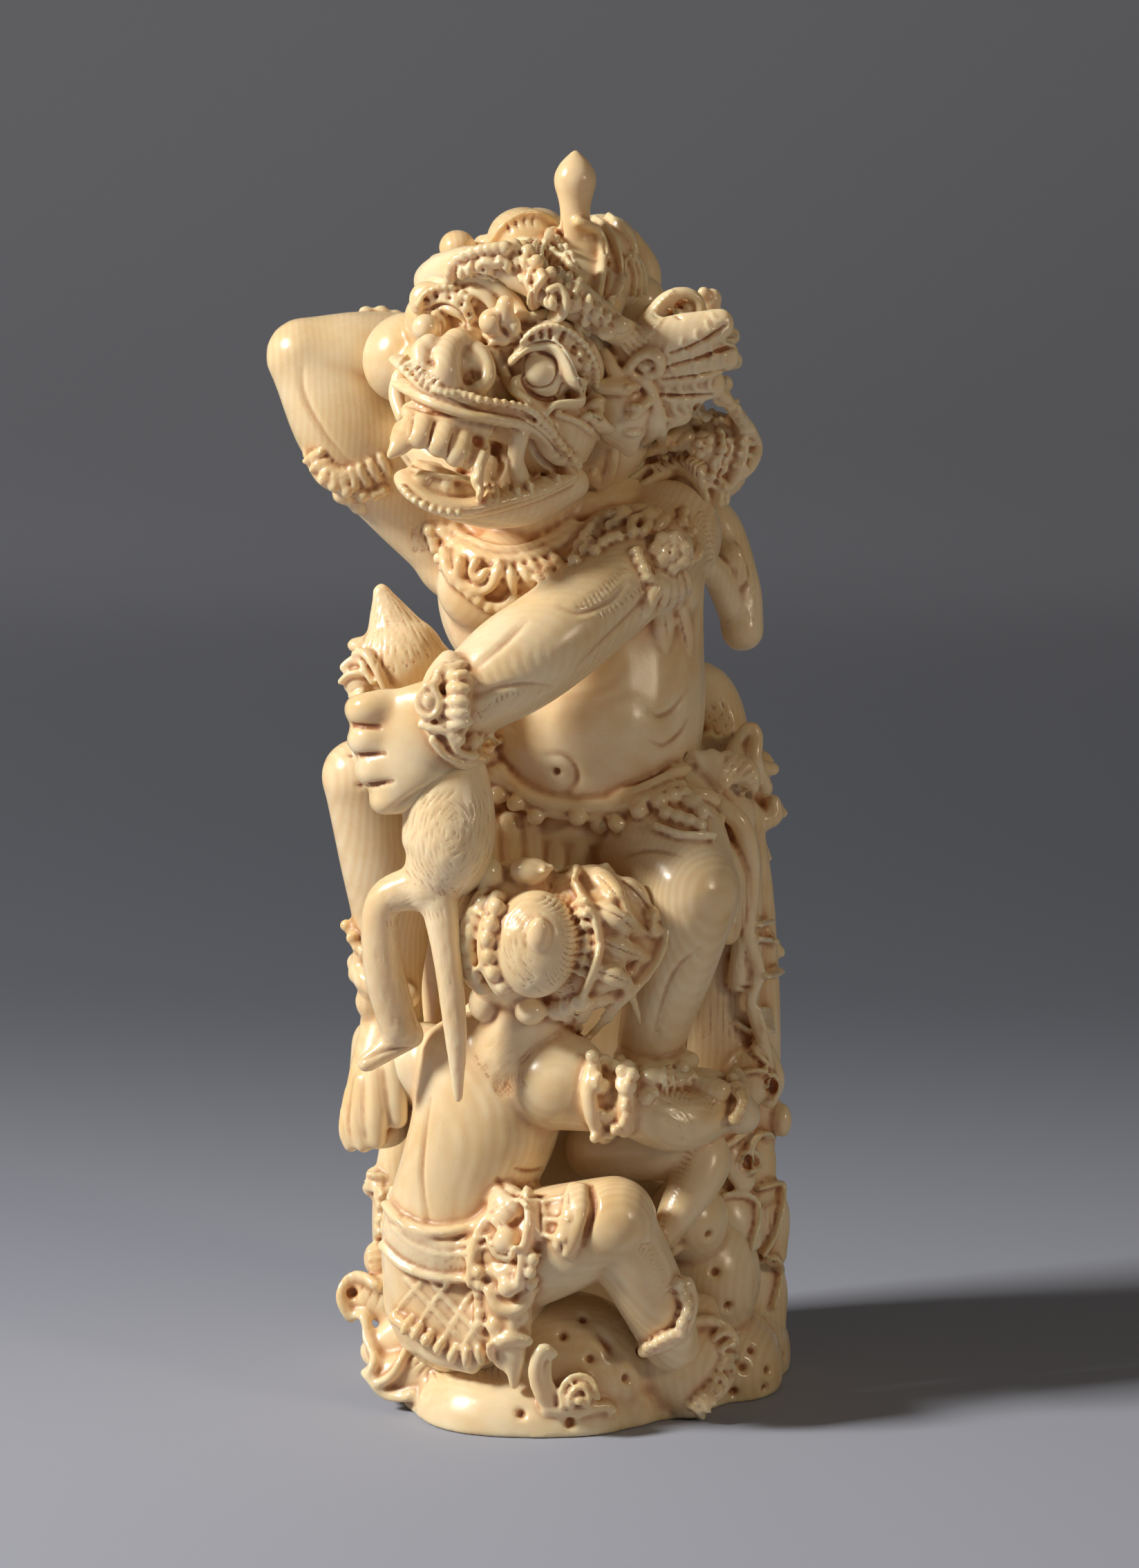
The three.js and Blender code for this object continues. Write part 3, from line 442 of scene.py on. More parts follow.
# Polished ivory, worked with knife and file and rubbed smooth: pale cream on what stands out, orange painted
# into the broad hollows as painted shade, for the warm glow that light takes on in them, dark brown in the
# fine grooves for dirt and painted shade, and fine bands where a cut crosses the layers that the tusk grew
# in. Light goes a little way in, which takes the hardness off small shadows.
IVORY_PALE = "#f2deba"
IVORY_CLOUD = "#e6c894"
IVORY_PAINTED_WARM_SHADE = "#d39557"
IVORY_DIRT_AND_PAINTED_SHADE = "#8f4a1a"
IVORY_BAND = "#d8b27e"
IVORY_STAIN = "#845430"
GROWTH_LAYER = 0.9 # millimetres between the tusk's growth layers
TUSK_CENTRE = (2, 0)
STAINS = [((11, -25, 5), 3.4), ((14, -20, 3), 3), ((7, -30, 32), 1.6), ((-20, -4, 149), 3.5)]


def ivory():
    """The one material of the whole carving."""
    made = bpy.data.materials.new("polished_ivory")
    made.use_nodes = True
    tree = made.node_tree
    tree.nodes.clear()
    place = node(tree, "TexCoord").outputs["Object"]
    fine = node(tree, "Attribute", attribute_name="fine").outputs["Fac"]
    broad = node(tree, "Attribute", attribute_name="broad").outputs["Fac"]
    # The growth layers are rings about the tusk's length, a little wavy.
    wander = node(tree, "TexNoise", [(place, "Vector")], in_Scale=60.0, in_Detail=2.0)
    shift = node(tree, "VectorMath", [(wander.outputs["Color"], 0)], operation="SCALE", in_Scale=0.0022)
    moved = node(tree, "VectorMath", [(place, 0), (shift.outputs[0], 1)], operation="ADD")
    centred = node(
        tree, "Mapping", [(moved.outputs[0], "Vector")],
        in_Location=(-TUSK_CENTRE[0] * MM, -TUSK_CENTRE[1] * MM, 0),
    )
    rings = node(
        tree, "TexWave", [(centred.outputs[0], "Vector")], wave_type="RINGS", rings_direction="Z",
        in_Scale=0.314 / (GROWTH_LAYER * MM), in_Distortion=0.0, in_Detail=0.0,
    )
    mottle = node(tree, "TexNoise", [(place, "Vector")], in_Scale=90.0, in_Detail=4.0, in_Roughness=0.6)
    cloud = node(tree, "MapRange", [(mottle.outputs["Fac"], "Value")], in_From_Min=0.35, in_From_Max=0.7)
    pale = node(
        tree, "MixRGB", [(cloud.outputs[0], "Fac")], in_Color1=linear(IVORY_PALE),
        in_Color2=linear(IVORY_CLOUD),
    )
    # The rings show in places only, where the cut is slant and the polish is thin.
    patch_noise = node(tree, "TexNoise", [(place, "Vector")], in_Scale=45.0, in_Detail=1.0)
    patch = node(
        tree, "MapRange", [(patch_noise.outputs["Fac"], "Value")], in_From_Min=0.38, in_From_Max=0.66,
        in_To_Min=0.04, in_To_Max=0.36,
    )
    band = node(tree, "Math", [(rings.outputs["Fac"], 0), (patch.outputs[0], 1)], operation="MULTIPLY")
    banded = node(
        tree, "MixRGB", [(band.outputs[0], "Fac"), (pale.outputs[0], "Color1")],
        in_Color2=linear(IVORY_BAND),
    )
    # Painted shade: the broad hollows are tinted orange, for the warm glow that bounced light gives in them.
    painted_shade_amount = node(
        tree, "MapRange", [(broad, "Value")], in_From_Min=-0.05, in_From_Max=0.75, in_To_Max=0.85,
    )
    painted_shaded = node(
        tree, "MixRGB", [(painted_shade_amount.outputs[0], "Fac"), (banded.outputs[0], "Color1")],
        in_Color2=linear(IVORY_PAINTED_WARM_SHADE),
    )
    # Dark brown in the fine grooves: dirt, and painted shade where the grooves fall into shadow.
    dirt_and_shade_amount = node(
        tree, "MapRange", [(fine, "Value")], in_From_Min=0.08, in_From_Max=0.9, in_To_Max=0.75,
    )
    dirt_and_shaded = node(
        tree, "MixRGB", [(dirt_and_shade_amount.outputs[0], "Fac"), (painted_shaded.outputs[0], "Color1")],
        in_Color2=linear(IVORY_DIRT_AND_PAINTED_SHADE),
    )
    colour = dirt_and_shaded.outputs[0]
    for (x, y, z), size in STAINS:
        away = node(
            tree, "VectorMath", [(moved.outputs[0], 0)], operation="DISTANCE",
            in_1=(x * MM, y * MM, z * MM),
        )
        near = node(
            tree, "MapRange", [(away.outputs["Value"], "Value")], in_From_Min=size * MM,
            in_From_Max=size * MM * 0.2, in_To_Min=0.0, in_To_Max=0.5,
        )
        blotch = node(tree, "Math", [(near.outputs[0], 0), (cloud.outputs[0], 1)], operation="MULTIPLY")
        colour = node(
            tree, "MixRGB", [(blotch.outputs[0], "Fac"), (colour, "Color1")], in_Color2=linear(IVORY_STAIN),
        ).outputs[0]
    # Dirt dulls the polish in the folds.
    gloss = node(
        tree, "MapRange", [(fine, "Value")], in_From_Min=-0.3, in_From_Max=0.6, in_To_Min=0.2,
        in_To_Max=0.5,
    )
    # File marks, too fine to see one by one, drawn a little coarser than they are.
    marks = node(tree, "TexNoise", [(place, "Vector")], in_Scale=2200.0, in_Detail=2.0)
    bump = node(tree, "Bump", [(marks.outputs["Fac"], "Height")], in_Strength=0.12, in_Distance=0.0001)
    shader = node(
        tree, "BsdfPrincipled",
        [(colour, "Base Color"), (gloss.outputs[0], "Roughness"), (bump.outputs[0], "Normal")], in_IOR=1.54,
        in_Subsurface_Weight=0.4, in_Subsurface_Radius=(1.0, 0.45, 0.2), in_Subsurface_Scale=0.0025,
    )
    node(tree, "OutputMaterial", [(shader.outputs[0], "Surface")])
    return made


IVORY = ivory()


def finished(piece, faces):
    """The piece brought to so many faces, smooth, in ivory, and part of the carving."""
    mark_recesses(piece)
    have = sum(len(p.vertices) - 2 for p in piece.data.polygons)
    if have > faces:
        applied(piece, "DECIMATE", ratio=faces / have)
    # Nothing stands out past the solid's own reach.
    low, high = (np.array(corner) / MM for corner in cad_box)
    move_points(piece, np.clip(points_of(piece), low, high))
    piece.data.shade_smooth()
    piece.data.materials.clear()
    piece.data.materials.append(IVORY)
    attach(piece, "root")
    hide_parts("carving")
    return piece


def dressed(piece, forms, grain, rounds=1):
    """The piece and the forms on it made one skin again."""
    name = piece.name
    body_and_forms = [(points_of(piece), triangles_of(piece)), *forms]
    bpy.data.objects.remove(piece)
    return fused(name, body_and_forms, grain, rounds)


def triangles_of(piece):
    """The piece's faces as triangles."""
    piece.data.calc_loop_triangles()
    flat = np.empty(len(piece.data.loop_triangles) * 3, np.int32)
    piece.data.loop_triangles.foreach_get("vertices", flat)
    return flat.reshape(-1, 3)


SHOULDER_LEFT = [14.4, -2, 125]
ELBOW_LEFT = [-1, -24, 114]
WRIST_LEFT = [-14.5, -29, 105]
SHOULDER_RIGHT = [-15, 3, 123]
ELBOW_RIGHT = [-37.6, -2, 150.5]
KNEE_RIGHT = [-29.6, -14, 92]
ANKLE_RIGHT = [-25.5, -9, 61]
KNEE_LEFT = [17, -21, 77]
ANKLE_LEFT = [11.5, -17, 54]
KNUCKLES = [(-30, 99.5), (-29.6, 95.1), (-28.4, 90.7), (-26.4, 86.5)]

body = fused(
    "giant_body",
    [
        limb(
            [
                [1, 0, 80, 17, 14], [2.5, -3, 90, 15.5, 13.5], [3, -3.5, 99, 16.5, 14],
                [2.5, -2.5, 108, 17, 13], [0.5, -2, 117, 19.5, 12.5], [-0.5, 0, 125, 18, 9],
            ],
        ),
        ball([2.5, -8.5, 98.5], [14, 10, 11.5]),
        ball([-9.5, -9, 118.5], [9.5, 6, 7.5]),
        ball([9.5, -8, 118.5], [9.5, 6, 7.5]),
        limb([[-3, 1, 122, 9], [-7, -4, 133, 8.5]]),
        # The left arm, which crosses the chest.
        ball(SHOULDER_LEFT, [7.5, 8.5, 8]),
        limb(
            [
                [*SHOULDER_LEFT, 7.2], [9, -14, 121, 6.8], [*ELBOW_LEFT, 7.2], [-8, -27.5, 109.5, 7.2],
                [*WRIST_LEFT, 5.8],
            ],
        ),
        # Its hand, closed round the monkey's neck.
        limb(
            [[-15, -28.5, 103.5, 5.8, 4.5], [-20, -29, 100.5, 7.2, 3.8], [-25.5, -27.5, 97, 8.2, 3.4]],
            wide=[0.35, 0, 0.94],
        ),
        *[
            limb(
                [seen((x + 4, z + 0.6), -28, 2.5), seen((x, z), -28.4, 2.3), seen((x - 0.4, z), -22, 2.0)],
                UP,
            )
            for x, z in KNUCKLES
        ],
        # The right arm, raised, with its elbow out.
        ball(SHOULDER_RIGHT, [8, 7.5, 8.5]),
        limb([[*SHOULDER_RIGHT, 7.5], [-24, 2, 131, 7], [-31, -1, 141, 8.4], [*ELBOW_RIGHT, 5.6]]),
        limb([[*ELBOW_RIGHT, 5.6], [-30, 0, 149.8, 7], [-21, 5, 149.5, 6.6], [-13, 9, 150, 5]]),
        # The right leg, bent, with its toes to the rock.
        limb([[-6, -1, 85, 9], [-18, -8, 90, 8], [*KNEE_RIGHT, 5.6]]),
        limb(
            [
                [*KNEE_RIGHT, 5.4], [-26.5, -10.5, 80, 6.4], [-25.5, -8, 70, 5.6], [*ANKLE_RIGHT, 4.4],
                [-25.5, -9, 54, 4.8],
            ],
        ),
        limb([[-25.5, -10, 55, 4.6, 4], [-27, -13.5, 47, 5, 3.4], [-27.6, -15, 41, 4.8, 2.8]]),
        # The left leg.
        limb([[6, -1, 86, 10], [13, -12, 83, 9], [*KNEE_LEFT, 7.2]]),
        limb([[*KNEE_LEFT, 7.2], [14.5, -19, 66, 6.2], [*ANKLE_LEFT, 4.8], [12, -17, 47, 5]]),
    ],
    grain=0.55,
    rounds=7,
)

# What the giant wears is drawn on the front view and falls on the body along the lines of sight.
front = Front(body)
collar = [
    front.roll(
        [(-18.4, 125.3), (-15.4, 122.6), (-10.4, 120.8), (-5.4, 121.3), (-0.4, 123.6), (1.8, 125.6)],
        0.8, 1.0, 0.5,
    ),
    front.roll([(-16.9, 125.7), (-13.4, 123.3), (-8.4, 122.3), (-2.9, 123.9), (0.4, 126.3)], 0.6, 0.9, 0.5),
    front.roll(
        [(-17.9, 122.9), (-14.4, 120.3), (-9.9, 118.9), (-4.4, 119.5), (-0.2, 121.5)],
        1.9, 0.9, 0.2,
    ),
]
armband = [
    front.roll([(1.4, 122.1), (3.4, 125.1), (6.6, 127.1), (10.6, 127.6)], 1.8, 1.3, 0.3),
    front.stud(14.6, 122.3, [3.0, 1.8, 3.0], 0.3),
    *[front.frond(root, tip, 0.9, 1.1, lift=0.6) for root, tip in [
        ((12.6, 119.3), (11.4, 114.1)), ((13.4, 119.3), (12.8, 113.3)), ((14.2, 119.3), (14.2, 113.5)),
        ((15, 119.5), (15.6, 113.9)), ((16, 119.9), (16.8, 115.5)),
    ]],
    front.frond((12.4, 118.9), (10.4, 111.6), 1.2, 1.0, lift=0.5),
    # The notched leaf that hangs on the side of the chest.
    front.frond((13.4, 114.9), (13.8, 107.6), 1.6, 0.9, lift=0.4),
    front.frond((16.1, 114.1), (17.6, 107.1), 1.3, 0.8, lift=0.4),
]
bracelet = [
    front.roll(
        [(-16.9, 106.1), (-18.8, 103.6), (-19.6, 100.1), (-18.4, 96.1), (-15.2, 92.9), (-11.9, 93.1)],
        1.9, 1.6, 0.4,
    ),
    front.roll([(-15.2, 103.6), (-15.6, 101.1), (-15.6, 97.6)], 1.4, 1.3, 0.6),
]
belt = [
    front.roll(
        [(-9.6, 91.1), (-6.6, 87.9), (-2.4, 86.1), (2.6, 85.7), (7.6, 86.5), (12.6, 88.3), (16.8, 90.9)],
        0.9, 1.2, 0.5,
    ),
    front.roll(
        [(-11.4, 90.1), (-7.9, 86.6), (-2.4, 84.7), (3.6, 84.3), (10.6, 85.9), (16.1, 88.1)],
        0.8, 1.1, 0.5,
    ),
    *[
        limb([[x, -13 - 0.02 * (x + 4) ** 2, 85, 1.9, 2], [x * 0.8 - 1, -12, 72, 2, 2]])
        for x in (-12, -8.5, -5, -1.5, 2)
    ],
    limb(
        [
            [-14, -10, 84, 1.8, 1.5], [0, -14, 84, 1.8, 1.5], [13, -13, 84.5, 2.8, 2.4],
            [20, -6, 86, 3.8, 2.8],
        ],
        UP,
    ),
    ball([15.5, -13, 85.5], [4.5, 3, 3.6]),
]
anklets = [
    limb([[-30.5, -8, 64, 1.6], [-28.5, -12.5, 62, 1.9], [-23, -13, 60, 1.8]]),
    ball(seen((-30.4, 66.9), -9), [1.9, 1.8, 2.2]),
    ball(seen((-29.9, 63.6), -10), [1.6, 1.8, 1.7]),
    ball(seen((-30.6, 61.3), -10), [1.5, 1.8, 1.6]),
    ball(seen((-28.6, 57.3), -11), [2.4, 2.2, 2.8]),
    drawn_limb([(-27.6, 61.6, -11, 1.3), (-27.2, 58.1, -12, 1.3)]),
    limb([[7.5, -19, 52.5, 1.5], [12, -22, 51, 1.6], [17, -19, 52, 1.5]]),
]
toes = [
    drawn_limb([(-25.8, 48.1, -16.5, 1.6), (-25.2, 43.6, -17.5, 1.8), (-24.8, 40.3, -18, 1.5)]),
    drawn_limb([(-28.1, 47.1, -17, 1.4), (-27.9, 41.1, -18.5, 1.6), (-27.8, 37.1, -18.5, 1.3)]),
    drawn_limb([(-30, 46.1, -16, 1.2), (-30.4, 40.1, -17.5, 1.4), (-29.8, 36.6, -17.8, 1.3)]),
    drawn_limb([(-31.6, 44.1, -14, 1.1), (-32.2, 39.1, -15.5, 1.3), (-31.6, 36.6, -16, 1.2)]),
]
raised_band = [
    drawn_limb(
        [
            (-37.2, 136.6, -4, 1.5), (-34.9, 133.1, -6, 1.7), (-30.4, 131.7, -6, 1.6),
            (-26.2, 133.1, -5, 1.4),
        ],
    ),
    ball(seen((-32.4, 130.6), -3), [2, 2, 1.6]),
    ball(seen((-30.4, 129.1), -2), [1.6, 2, 1.5]),
]
body = dressed(
    body, [*collar, *armband, *bracelet, *belt, *anklets, *toes, *raised_band], grain=0.42, rounds=2,
)

front = Front(body)
finery = [
    # The necklace's scrolls and scalloped rim.
    *front.beads([(-20.2, 125.3), (-19.2, 123.1), (-18.2, 120.9), (-17, 118.9)], 6, [0.9, 0.9, 0.9], 0.5),
    front.roll(
        [(-15.6, 120.9), (-15.6, 118.6), (-14.2, 117.1), (-11.8, 117.1), (-10.4, 118.9), (-10.2, 120.6)],
        0.75, 0.9, 0.7,
    ),
    front.roll([(-13.4, 120.9), (-14, 119.3), (-13, 118.3), (-12, 119.3)], 0.65, 0.8, 0.9),
    front.roll([(-17.6, 122.1), (-17.2, 120.1), (-16.2, 118.9)], 0.8, 0.9, 0.7),
    *front.beads(
        [(-16.4, 118.1), (-14.8, 116.9), (-13.2, 115.5), (-11.2, 114.3), (-9.4, 114.5), (-8.2, 115.5)],
        8, [0.95, 0.95, 0.95], 0.5,
    ),
    front.frond((-8.8, 120.3), (-7.9, 115.9), 0.8, 0.9, lift=0.7),
    front.frond((-7.2, 120.3), (-5.2, 117.1), 0.9, 0.9, lift=0.6),
    front.frond((-5.8, 120.9), (-4.2, 117.5), 0.8, 0.9, lift=0.6),
    front.frond((-4.2, 121.1), (-2.4, 117.9), 0.9, 0.9, lift=0.6),
    front.frond((-2.4, 121.7), (-0.4, 118.9), 0.8, 0.9, lift=0.6),
    # The armband's flower.
    *front.beads(
        [(0.8, 120.6), (1.2, 122.6), (2.4, 124.6), (4, 126.3), (6, 127.5), (8.1, 128.1)],
        9, [0.9, 0.9, 0.9], 0.6,
    ),
    *front.beads([(2.4, 122.1), (3.8, 123.9), (5.6, 125.3), (7.2, 126.1)], 6, [0.85, 0.9, 0.85], 0.7),
    *front.beads([(3.8, 122.1), (5.4, 123.5), (7, 124.1)], 4, [0.8, 0.9, 0.8], 0.7),
    front.roll([(9, 124.5), (9, 126.3), (10.6, 126.9), (11.4, 125.7), (10.6, 124.7)], 0.7, 0.9, 0.7),
    front.stud(8.2, 127.7, [1.1, 1.0, 1.1], 0.5),
    *[front.frond(a, b, 0.85, 1.0, lift=0.7) for a, b in [
        ((10.4, 126.3), (11.4, 128.7)), ((11.6, 125.9), (13, 128.3)), ((12.6, 125.3), (14.4, 127.3)),
        ((16, 126.9), (16.8, 128.5)),
    ]],
    *front.rosette(14.6, 122.3, 3.0, 7),
    front.stud(17.4, 125.1, [0.8, 0.9, 0.8], 0.7),
    front.stud(16.1, 126.5, [0.8, 0.9, 0.8], 0.7),
    front.frond((17.8, 120.9), (18.8, 123.7), 0.8, 0.9, lift=0.6),
    *[
        front.stud(*p, [0.95, 1.1, 0.75], 0.6)
        for p in [(9.6, 122.1), (10, 120.9), (10.6, 119.7), (11.2, 118.5)]
    ],
    # The bracelet's boss, bars and beads.
    front.roll(
        [
            (-20.2, 102.9), (-21.2, 101.1), (-21, 99.1), (-19.6, 98.5), (-19, 100.6), (-19.6, 102.7),
            (-20.4, 102.8),
        ],
        0.55, 0.9, 0.8,
    ),
    front.stud(-20.2, 100.7, [0.9, 0.9, 1.2], 0.7),
    *front.bars([(-16.7, 105.6), (-16.2, 103.1), (-16.4, 100.1), (-16, 97.6)], 6, 1.3, 0.75, lift=0.9),
    *front.beads([(-18.4, 105.3), (-19.2, 103.6), (-18.4, 97.6)], 5, [0.75, 0.9, 0.75], 0.6),
    front.stud(-15.8, 95.9, 0.95, 0.8),
    front.stud(-14.4, 94.4, 1.0, 0.8),
    front.roll([(-20.9, 97.6), (-18.4, 96.5), (-16.4, 96.3)], 0.6, 0.9, 0.7),
    front.roll([(-19.6, 95.5), (-17.6, 93.1), (-14.8, 92.1), (-12.4, 92.7)], 0.55, 0.8, 0.7),
    front.roll([(-17.4, 95.3), (-16.2, 93.5), (-14, 92.9)], 0.45, 0.8, 0.8),
    *front.bars([(-13.2, 94.9), (-11.6, 94.3), (-10.8, 95.3)], 3, 0.9, 0.5, lift=0.8),
    # The belt's knobs and leaves.
    *[
        front.stud(*p, [1.3, 1.1, 1.2], 0.4)
        for p in [
            (-10.2, 87.1), (-7.6, 85.9), (-4.8, 84.3), (1.2, 83.9), (4.4, 83.1), (7.1, 82.9), (10.1, 84.9),
        ]
    ],
    *front.beads([(12.8, 86.5), (15.1, 87.3), (17.4, 86.3), (18.8, 84.3)], 5, [1.2, 1.1, 1.2], 0.5),
    *front.beads([(14.1, 84.3), (16.4, 83.5), (18.6, 82.5)], 4, [1.1, 1.0, 1.0], 0.5),
    front.frond((18, 87.5), (22.2, 83.1), 1.3, 1.0, bow=0.15, lift=0.6),
    front.frond((16.1, 86.1), (20.6, 84.1), 1.0, 0.9, lift=0.6),
    front.roll([(12.6, 82.5), (16.1, 81.1), (20.6, 80.9)], 0.5, 0.8, 0.7),
    # Beads and leaves of the armlet on the raised arm.
    *front.bars([(-36.8, 136.1), (-34.4, 133.1), (-30.8, 133.1), (-26.8, 134.9)], 9, 1.3, 0.62, lift=0.7),
    *front.beads([(-35.4, 132.7), (-32.9, 131.3), (-29.4, 130.5), (-27.2, 131.3)], 6, [0.9, 0.9, 0.9], 0.5),
    # The anklets.
    *front.beads([(-31.9, 68.1), (-30.9, 65.9), (-29.4, 64.5)], 4, [0.9, 0.9, 0.9], 0.5),
    *front.beads([(-27.9, 62.1), (-27.2, 60.1), (-27.6, 58.1)], 3, [0.8, 0.9, 0.8], 0.5),
    *front.beads([(7.4, 48.5), (10.1, 46.9), (13.1, 46.1), (16.1, 47.6)], 6, [1.1, 1.0, 1.2], 0.4),
    # The comb of the wrist behind the head.
    *[
        ball(seen(p, 3), [1.1, 1.1, 0.8])
        for p in [(-29.4, 157), (-27.2, 157.1), (-25.2, 156.5), (-23.2, 155.9)]
    ],
]
body = dressed(body, finery, grain=0.36)
chips = [
    ticks([(-37.9, 146.1), (-36.9, 142.6), (-34.9, 139.1), (-32.4, 135.9)], 17, 0.75, 0.7, (-1, 0.1)),
    ticks([(4.4, 113.1), (6.6, 114.1), (9.1, 116.1), (11.1, 117.3)], 12, 0.8, 0.3, (-1, 0.6)),
    ticks([(3.4, 107.6), (6.1, 110.6), (9.1, 113.6), (11.4, 115.3)], 20, 1.1, -0.4),
    ticks([(1.4, 114.1), (4.4, 116.1), (6.8, 118.3), (7.8, 119.9)], 16, 0.9, 0.2),
    ticks(
        [(-13, 99.1), (-11.4, 100.5), (-8.9, 101.9), (-5.9, 102.6), (-3.9, 102.5)],
        15, 1.0, -0.5, (-1, 0.3),
    ),
    ticks([(18.4, 64.3), (16.1, 62.1), (14.1, 58.1), (12.6, 53.1)], 12, 0.9, 0.6),
    strands([(-21.2, 126.9), (-21.8, 124.6), (-21.2, 122.1)], 1.2, 2.4, 0.5),
    ticks([(18.8, 128.1), (20.2, 125.1), (20.6, 121.1)], 10, 1.2, 0.6),
    [[(13.8, 113.6), (14.2, 109.6)], [(16, 112.9), (17, 108.6)]],
]
muscles = [
    [(-38.7, 148.6), (-38.6, 145.6), (-37.2, 142.1), (-34.6, 138.1), (-32, 135.3)],
    [(-13.4, 101.3), (-10.4, 102.5), (-6.4, 103.1), (-2.4, 102.7)],
    [(-13.4, 105.6), (-9.4, 109.1), (-6.4, 112.1)],
    [(-1.2, 114.3), (1.6, 113.5), (5.6, 115.1), (8.1, 117.6)],
    [(1.1, 105.6), (4.6, 109.1), (9.6, 114.1), (11.8, 117.1)],
    [(11.8, 99.1), (13.1, 98.5), (15.1, 99.5), (17.1, 102.3)],
    [(11.8, 94.9), (13.8, 94.3), (16.1, 96.1), (17.2, 98.1)],
    [(18.8, 64.9), (16.1, 62.6), (14.1, 59.1), (12.1, 52.1)],
    [(-18.4, 89.3), (-22.4, 87.1), (-26.4, 84.3)],
    [(-3.2, 92.9), (-0.9, 92.7), (0.8, 91.1), (1, 89.1), (0, 87.9)],
    [(7.6, 77.9), (10.6, 78.9), (13.6, 78.9), (16.6, 78.1)],
]
engraved(body, [
    *[(paths, 0.4, 0.2) for paths in chips],
    (muscles, 1.0, 0.35),
    ([[(-2.1, 90.5), (-1.9, 90.3), (-1.7, 90.2)]], 1.0, 0.9),
    # Between the knuckles, and the hole in the armband's flower.
    (
        [
            [(-32.4, 97.3), (-30.4, 97.1), (-27.6, 96.9)],
            [(-32, 92.9), (-29.9, 92.8), (-26.8, 93.1)], [(-30.6, 88.5), (-28.4, 88.5), (-25.6, 89.1)],
        ],
        0.7, 0.6,
    ),
    ([[(14.6, 122.9), (14.5, 122.3), (14.7, 121.7)]], 0.8, 1.2),
    (ticks([(-12.4, 103.6), (-8.4, 105.6), (-3.4, 107.1)], 7, 1.9, 0.2), 0.6, 0.08),
])
finished(body, faces=150000)


# The giant's head, turned to its right: a fanged mask with bulging eyes, its brows and lips undercut
# with a small gouge so that each stands out over a shadow, and the whole rubbed to a high polish.
# Modelled upright about its own centre, facing -y, then turned and tilted.
HEAD = (
    Matrix.Translation((-8.6, -9, 150.7))
    @ Matrix.Rotation(math.radians(-22), 4, "Z")
    @ Matrix.Rotation(math.radians(8), 4, "X")
    @ Matrix.Rotation(math.radians(23.5), 4, "Y")
)


def placed(forms, turn):
    """The forms turned and moved by a matrix."""
    m = np.array(turn)
    return [(points @ m[:3, :3].T + m[:3, 3], faces) for points, faces in forms]


skull = [
    ball([1, 3, 2.4], [12.6, 11, 12.4]),
    ball([0, -5, 6], [13, 9.5, 7.5]),
    ball([0.5, -8.5, -2.5], [13, 9.5, 6.5]),
    ball([2.5, -6, -13.5], [12.5, 10, 6]),
    ball([-12, -7, -4], [6, 6.5, 6.5]),
    ball([12, -7, -4], [6, 6.5, 6.5]),
    ball([-8.8, -10.5, 4.3], [4.2, 4.2, 4.2]),
    ball([8.8, -10.5, 4.3], [4.2, 4.2, 4.2]),
]
brow_rise = [
    ball(seen((-10.8, 159.3), -19.6), [6, 4, 4.6]),
    ball(seen((-16.4, 159.6), -17), [5, 4, 4]),
    ball(seen((-1.4, 154.1), -16), [7, 4, 4]),
]
head = fused(
    "giant_head", [*placed(skull, HEAD), *brow_rise, ball([2, -2, 141], [10, 9, 10])], grain=0.5, rounds=4,
)
front = Front(head)
nose = [
    drawn_limb(
        [
            (-13.4, 153.3, -22.5, 1.8), (-15.6, 152.7, -25, 2.0), (-17.4, 151.6, -28, 1.9),
            (-18.1, 148.6, -29.6, 2.3), (-17.4, 146.8, -29.6, 2.0),
        ],
    ),
    ball(seen((-16.2, 152.9), -26.6), [2.0, 2, 1.7]),
    ball(seen((-14.6, 148.7), -26.6), [3.2, 2.6, 3.2]),
    drawn_limb(
        [
            (-15.2, 152.1, -26.4, 1.4), (-13, 151.1, -27, 1.3), (-11.8, 149.1, -28, 1.1),
            (-11.8, 147.3, -28.6, 1.1), (-12.7, 146, -29, 0.95), (-13.6, 146.8, -29.4, 0.7),
        ],
    ),
    drawn_limb(
        [
            (-20.2, 152.3, -28, 1.5), (-21.4, 151.6, -28.2, 1.3), (-21.2, 149.6, -29, 1.5),
            (-20.4, 147.6, -29.2, 1.4),
        ],
    ),
    drawn_limb([(-19.6, 146.6, -29.4, 1.3), (-16.9, 145.9, -29.4, 1.1), (-13.6, 145.4, -28.8, 0.9)]),
]
eyes = [
    ball(seen((-20.8, 154.7), -24.6), [1.9, 1.9, 1.9]),
    ball(seen((-4, 147.3), -22.8), [3.5, 3.2, 3.4]),
    ball(seen((-4.4, 148.5), -25.3), [2.35, 1.5, 2.35]),
]
lids = [
    front.roll(
        [(-8.2, 150.5), (-6.2, 151.4), (-3.4, 151.3), (-1.6, 149.9), (-0.6, 147.3), (0.8, 143.1)],
        0.6, 1.5, 1.0,
    ),
    front.roll([(-6.6, 147.6), (-6, 145.5), (-4.2, 143.9), (-1.8, 143.1), (1, 142.9)], 0.55, 1.4, 1.0),
    front.roll(
        [(-1.8, 150.6), (0.4, 148.1), (2, 144.9), (3.1, 143.1), (2.8, 141.5), (1.8, 141.7)],
        0.6, 1.2, 0.9,
    ),
    front.roll([(-19.6, 156.6), (-18.2, 155.5), (-17.7, 153.5)], 0.5, 1.3, 1.0),
    front.roll([(-20, 156.9), (-17.8, 156.3), (-17, 153.7)], 0.5, 0.9, 1.0),
]
BROW_LEFT = [(-21.4, 157.1), (-21, 158.5), (-19.2, 159.3), (-17, 159.1), (-15.2, 157.9), (-14.2, 155.9)]
BROW_RIGHT = [
    (-7.2, 151.8), (-5.2, 152.9), (-2.8, 153.4), (-0.4, 152.4), (1.4, 150.3), (2.4, 147.7), (2.8, 145.9),
]
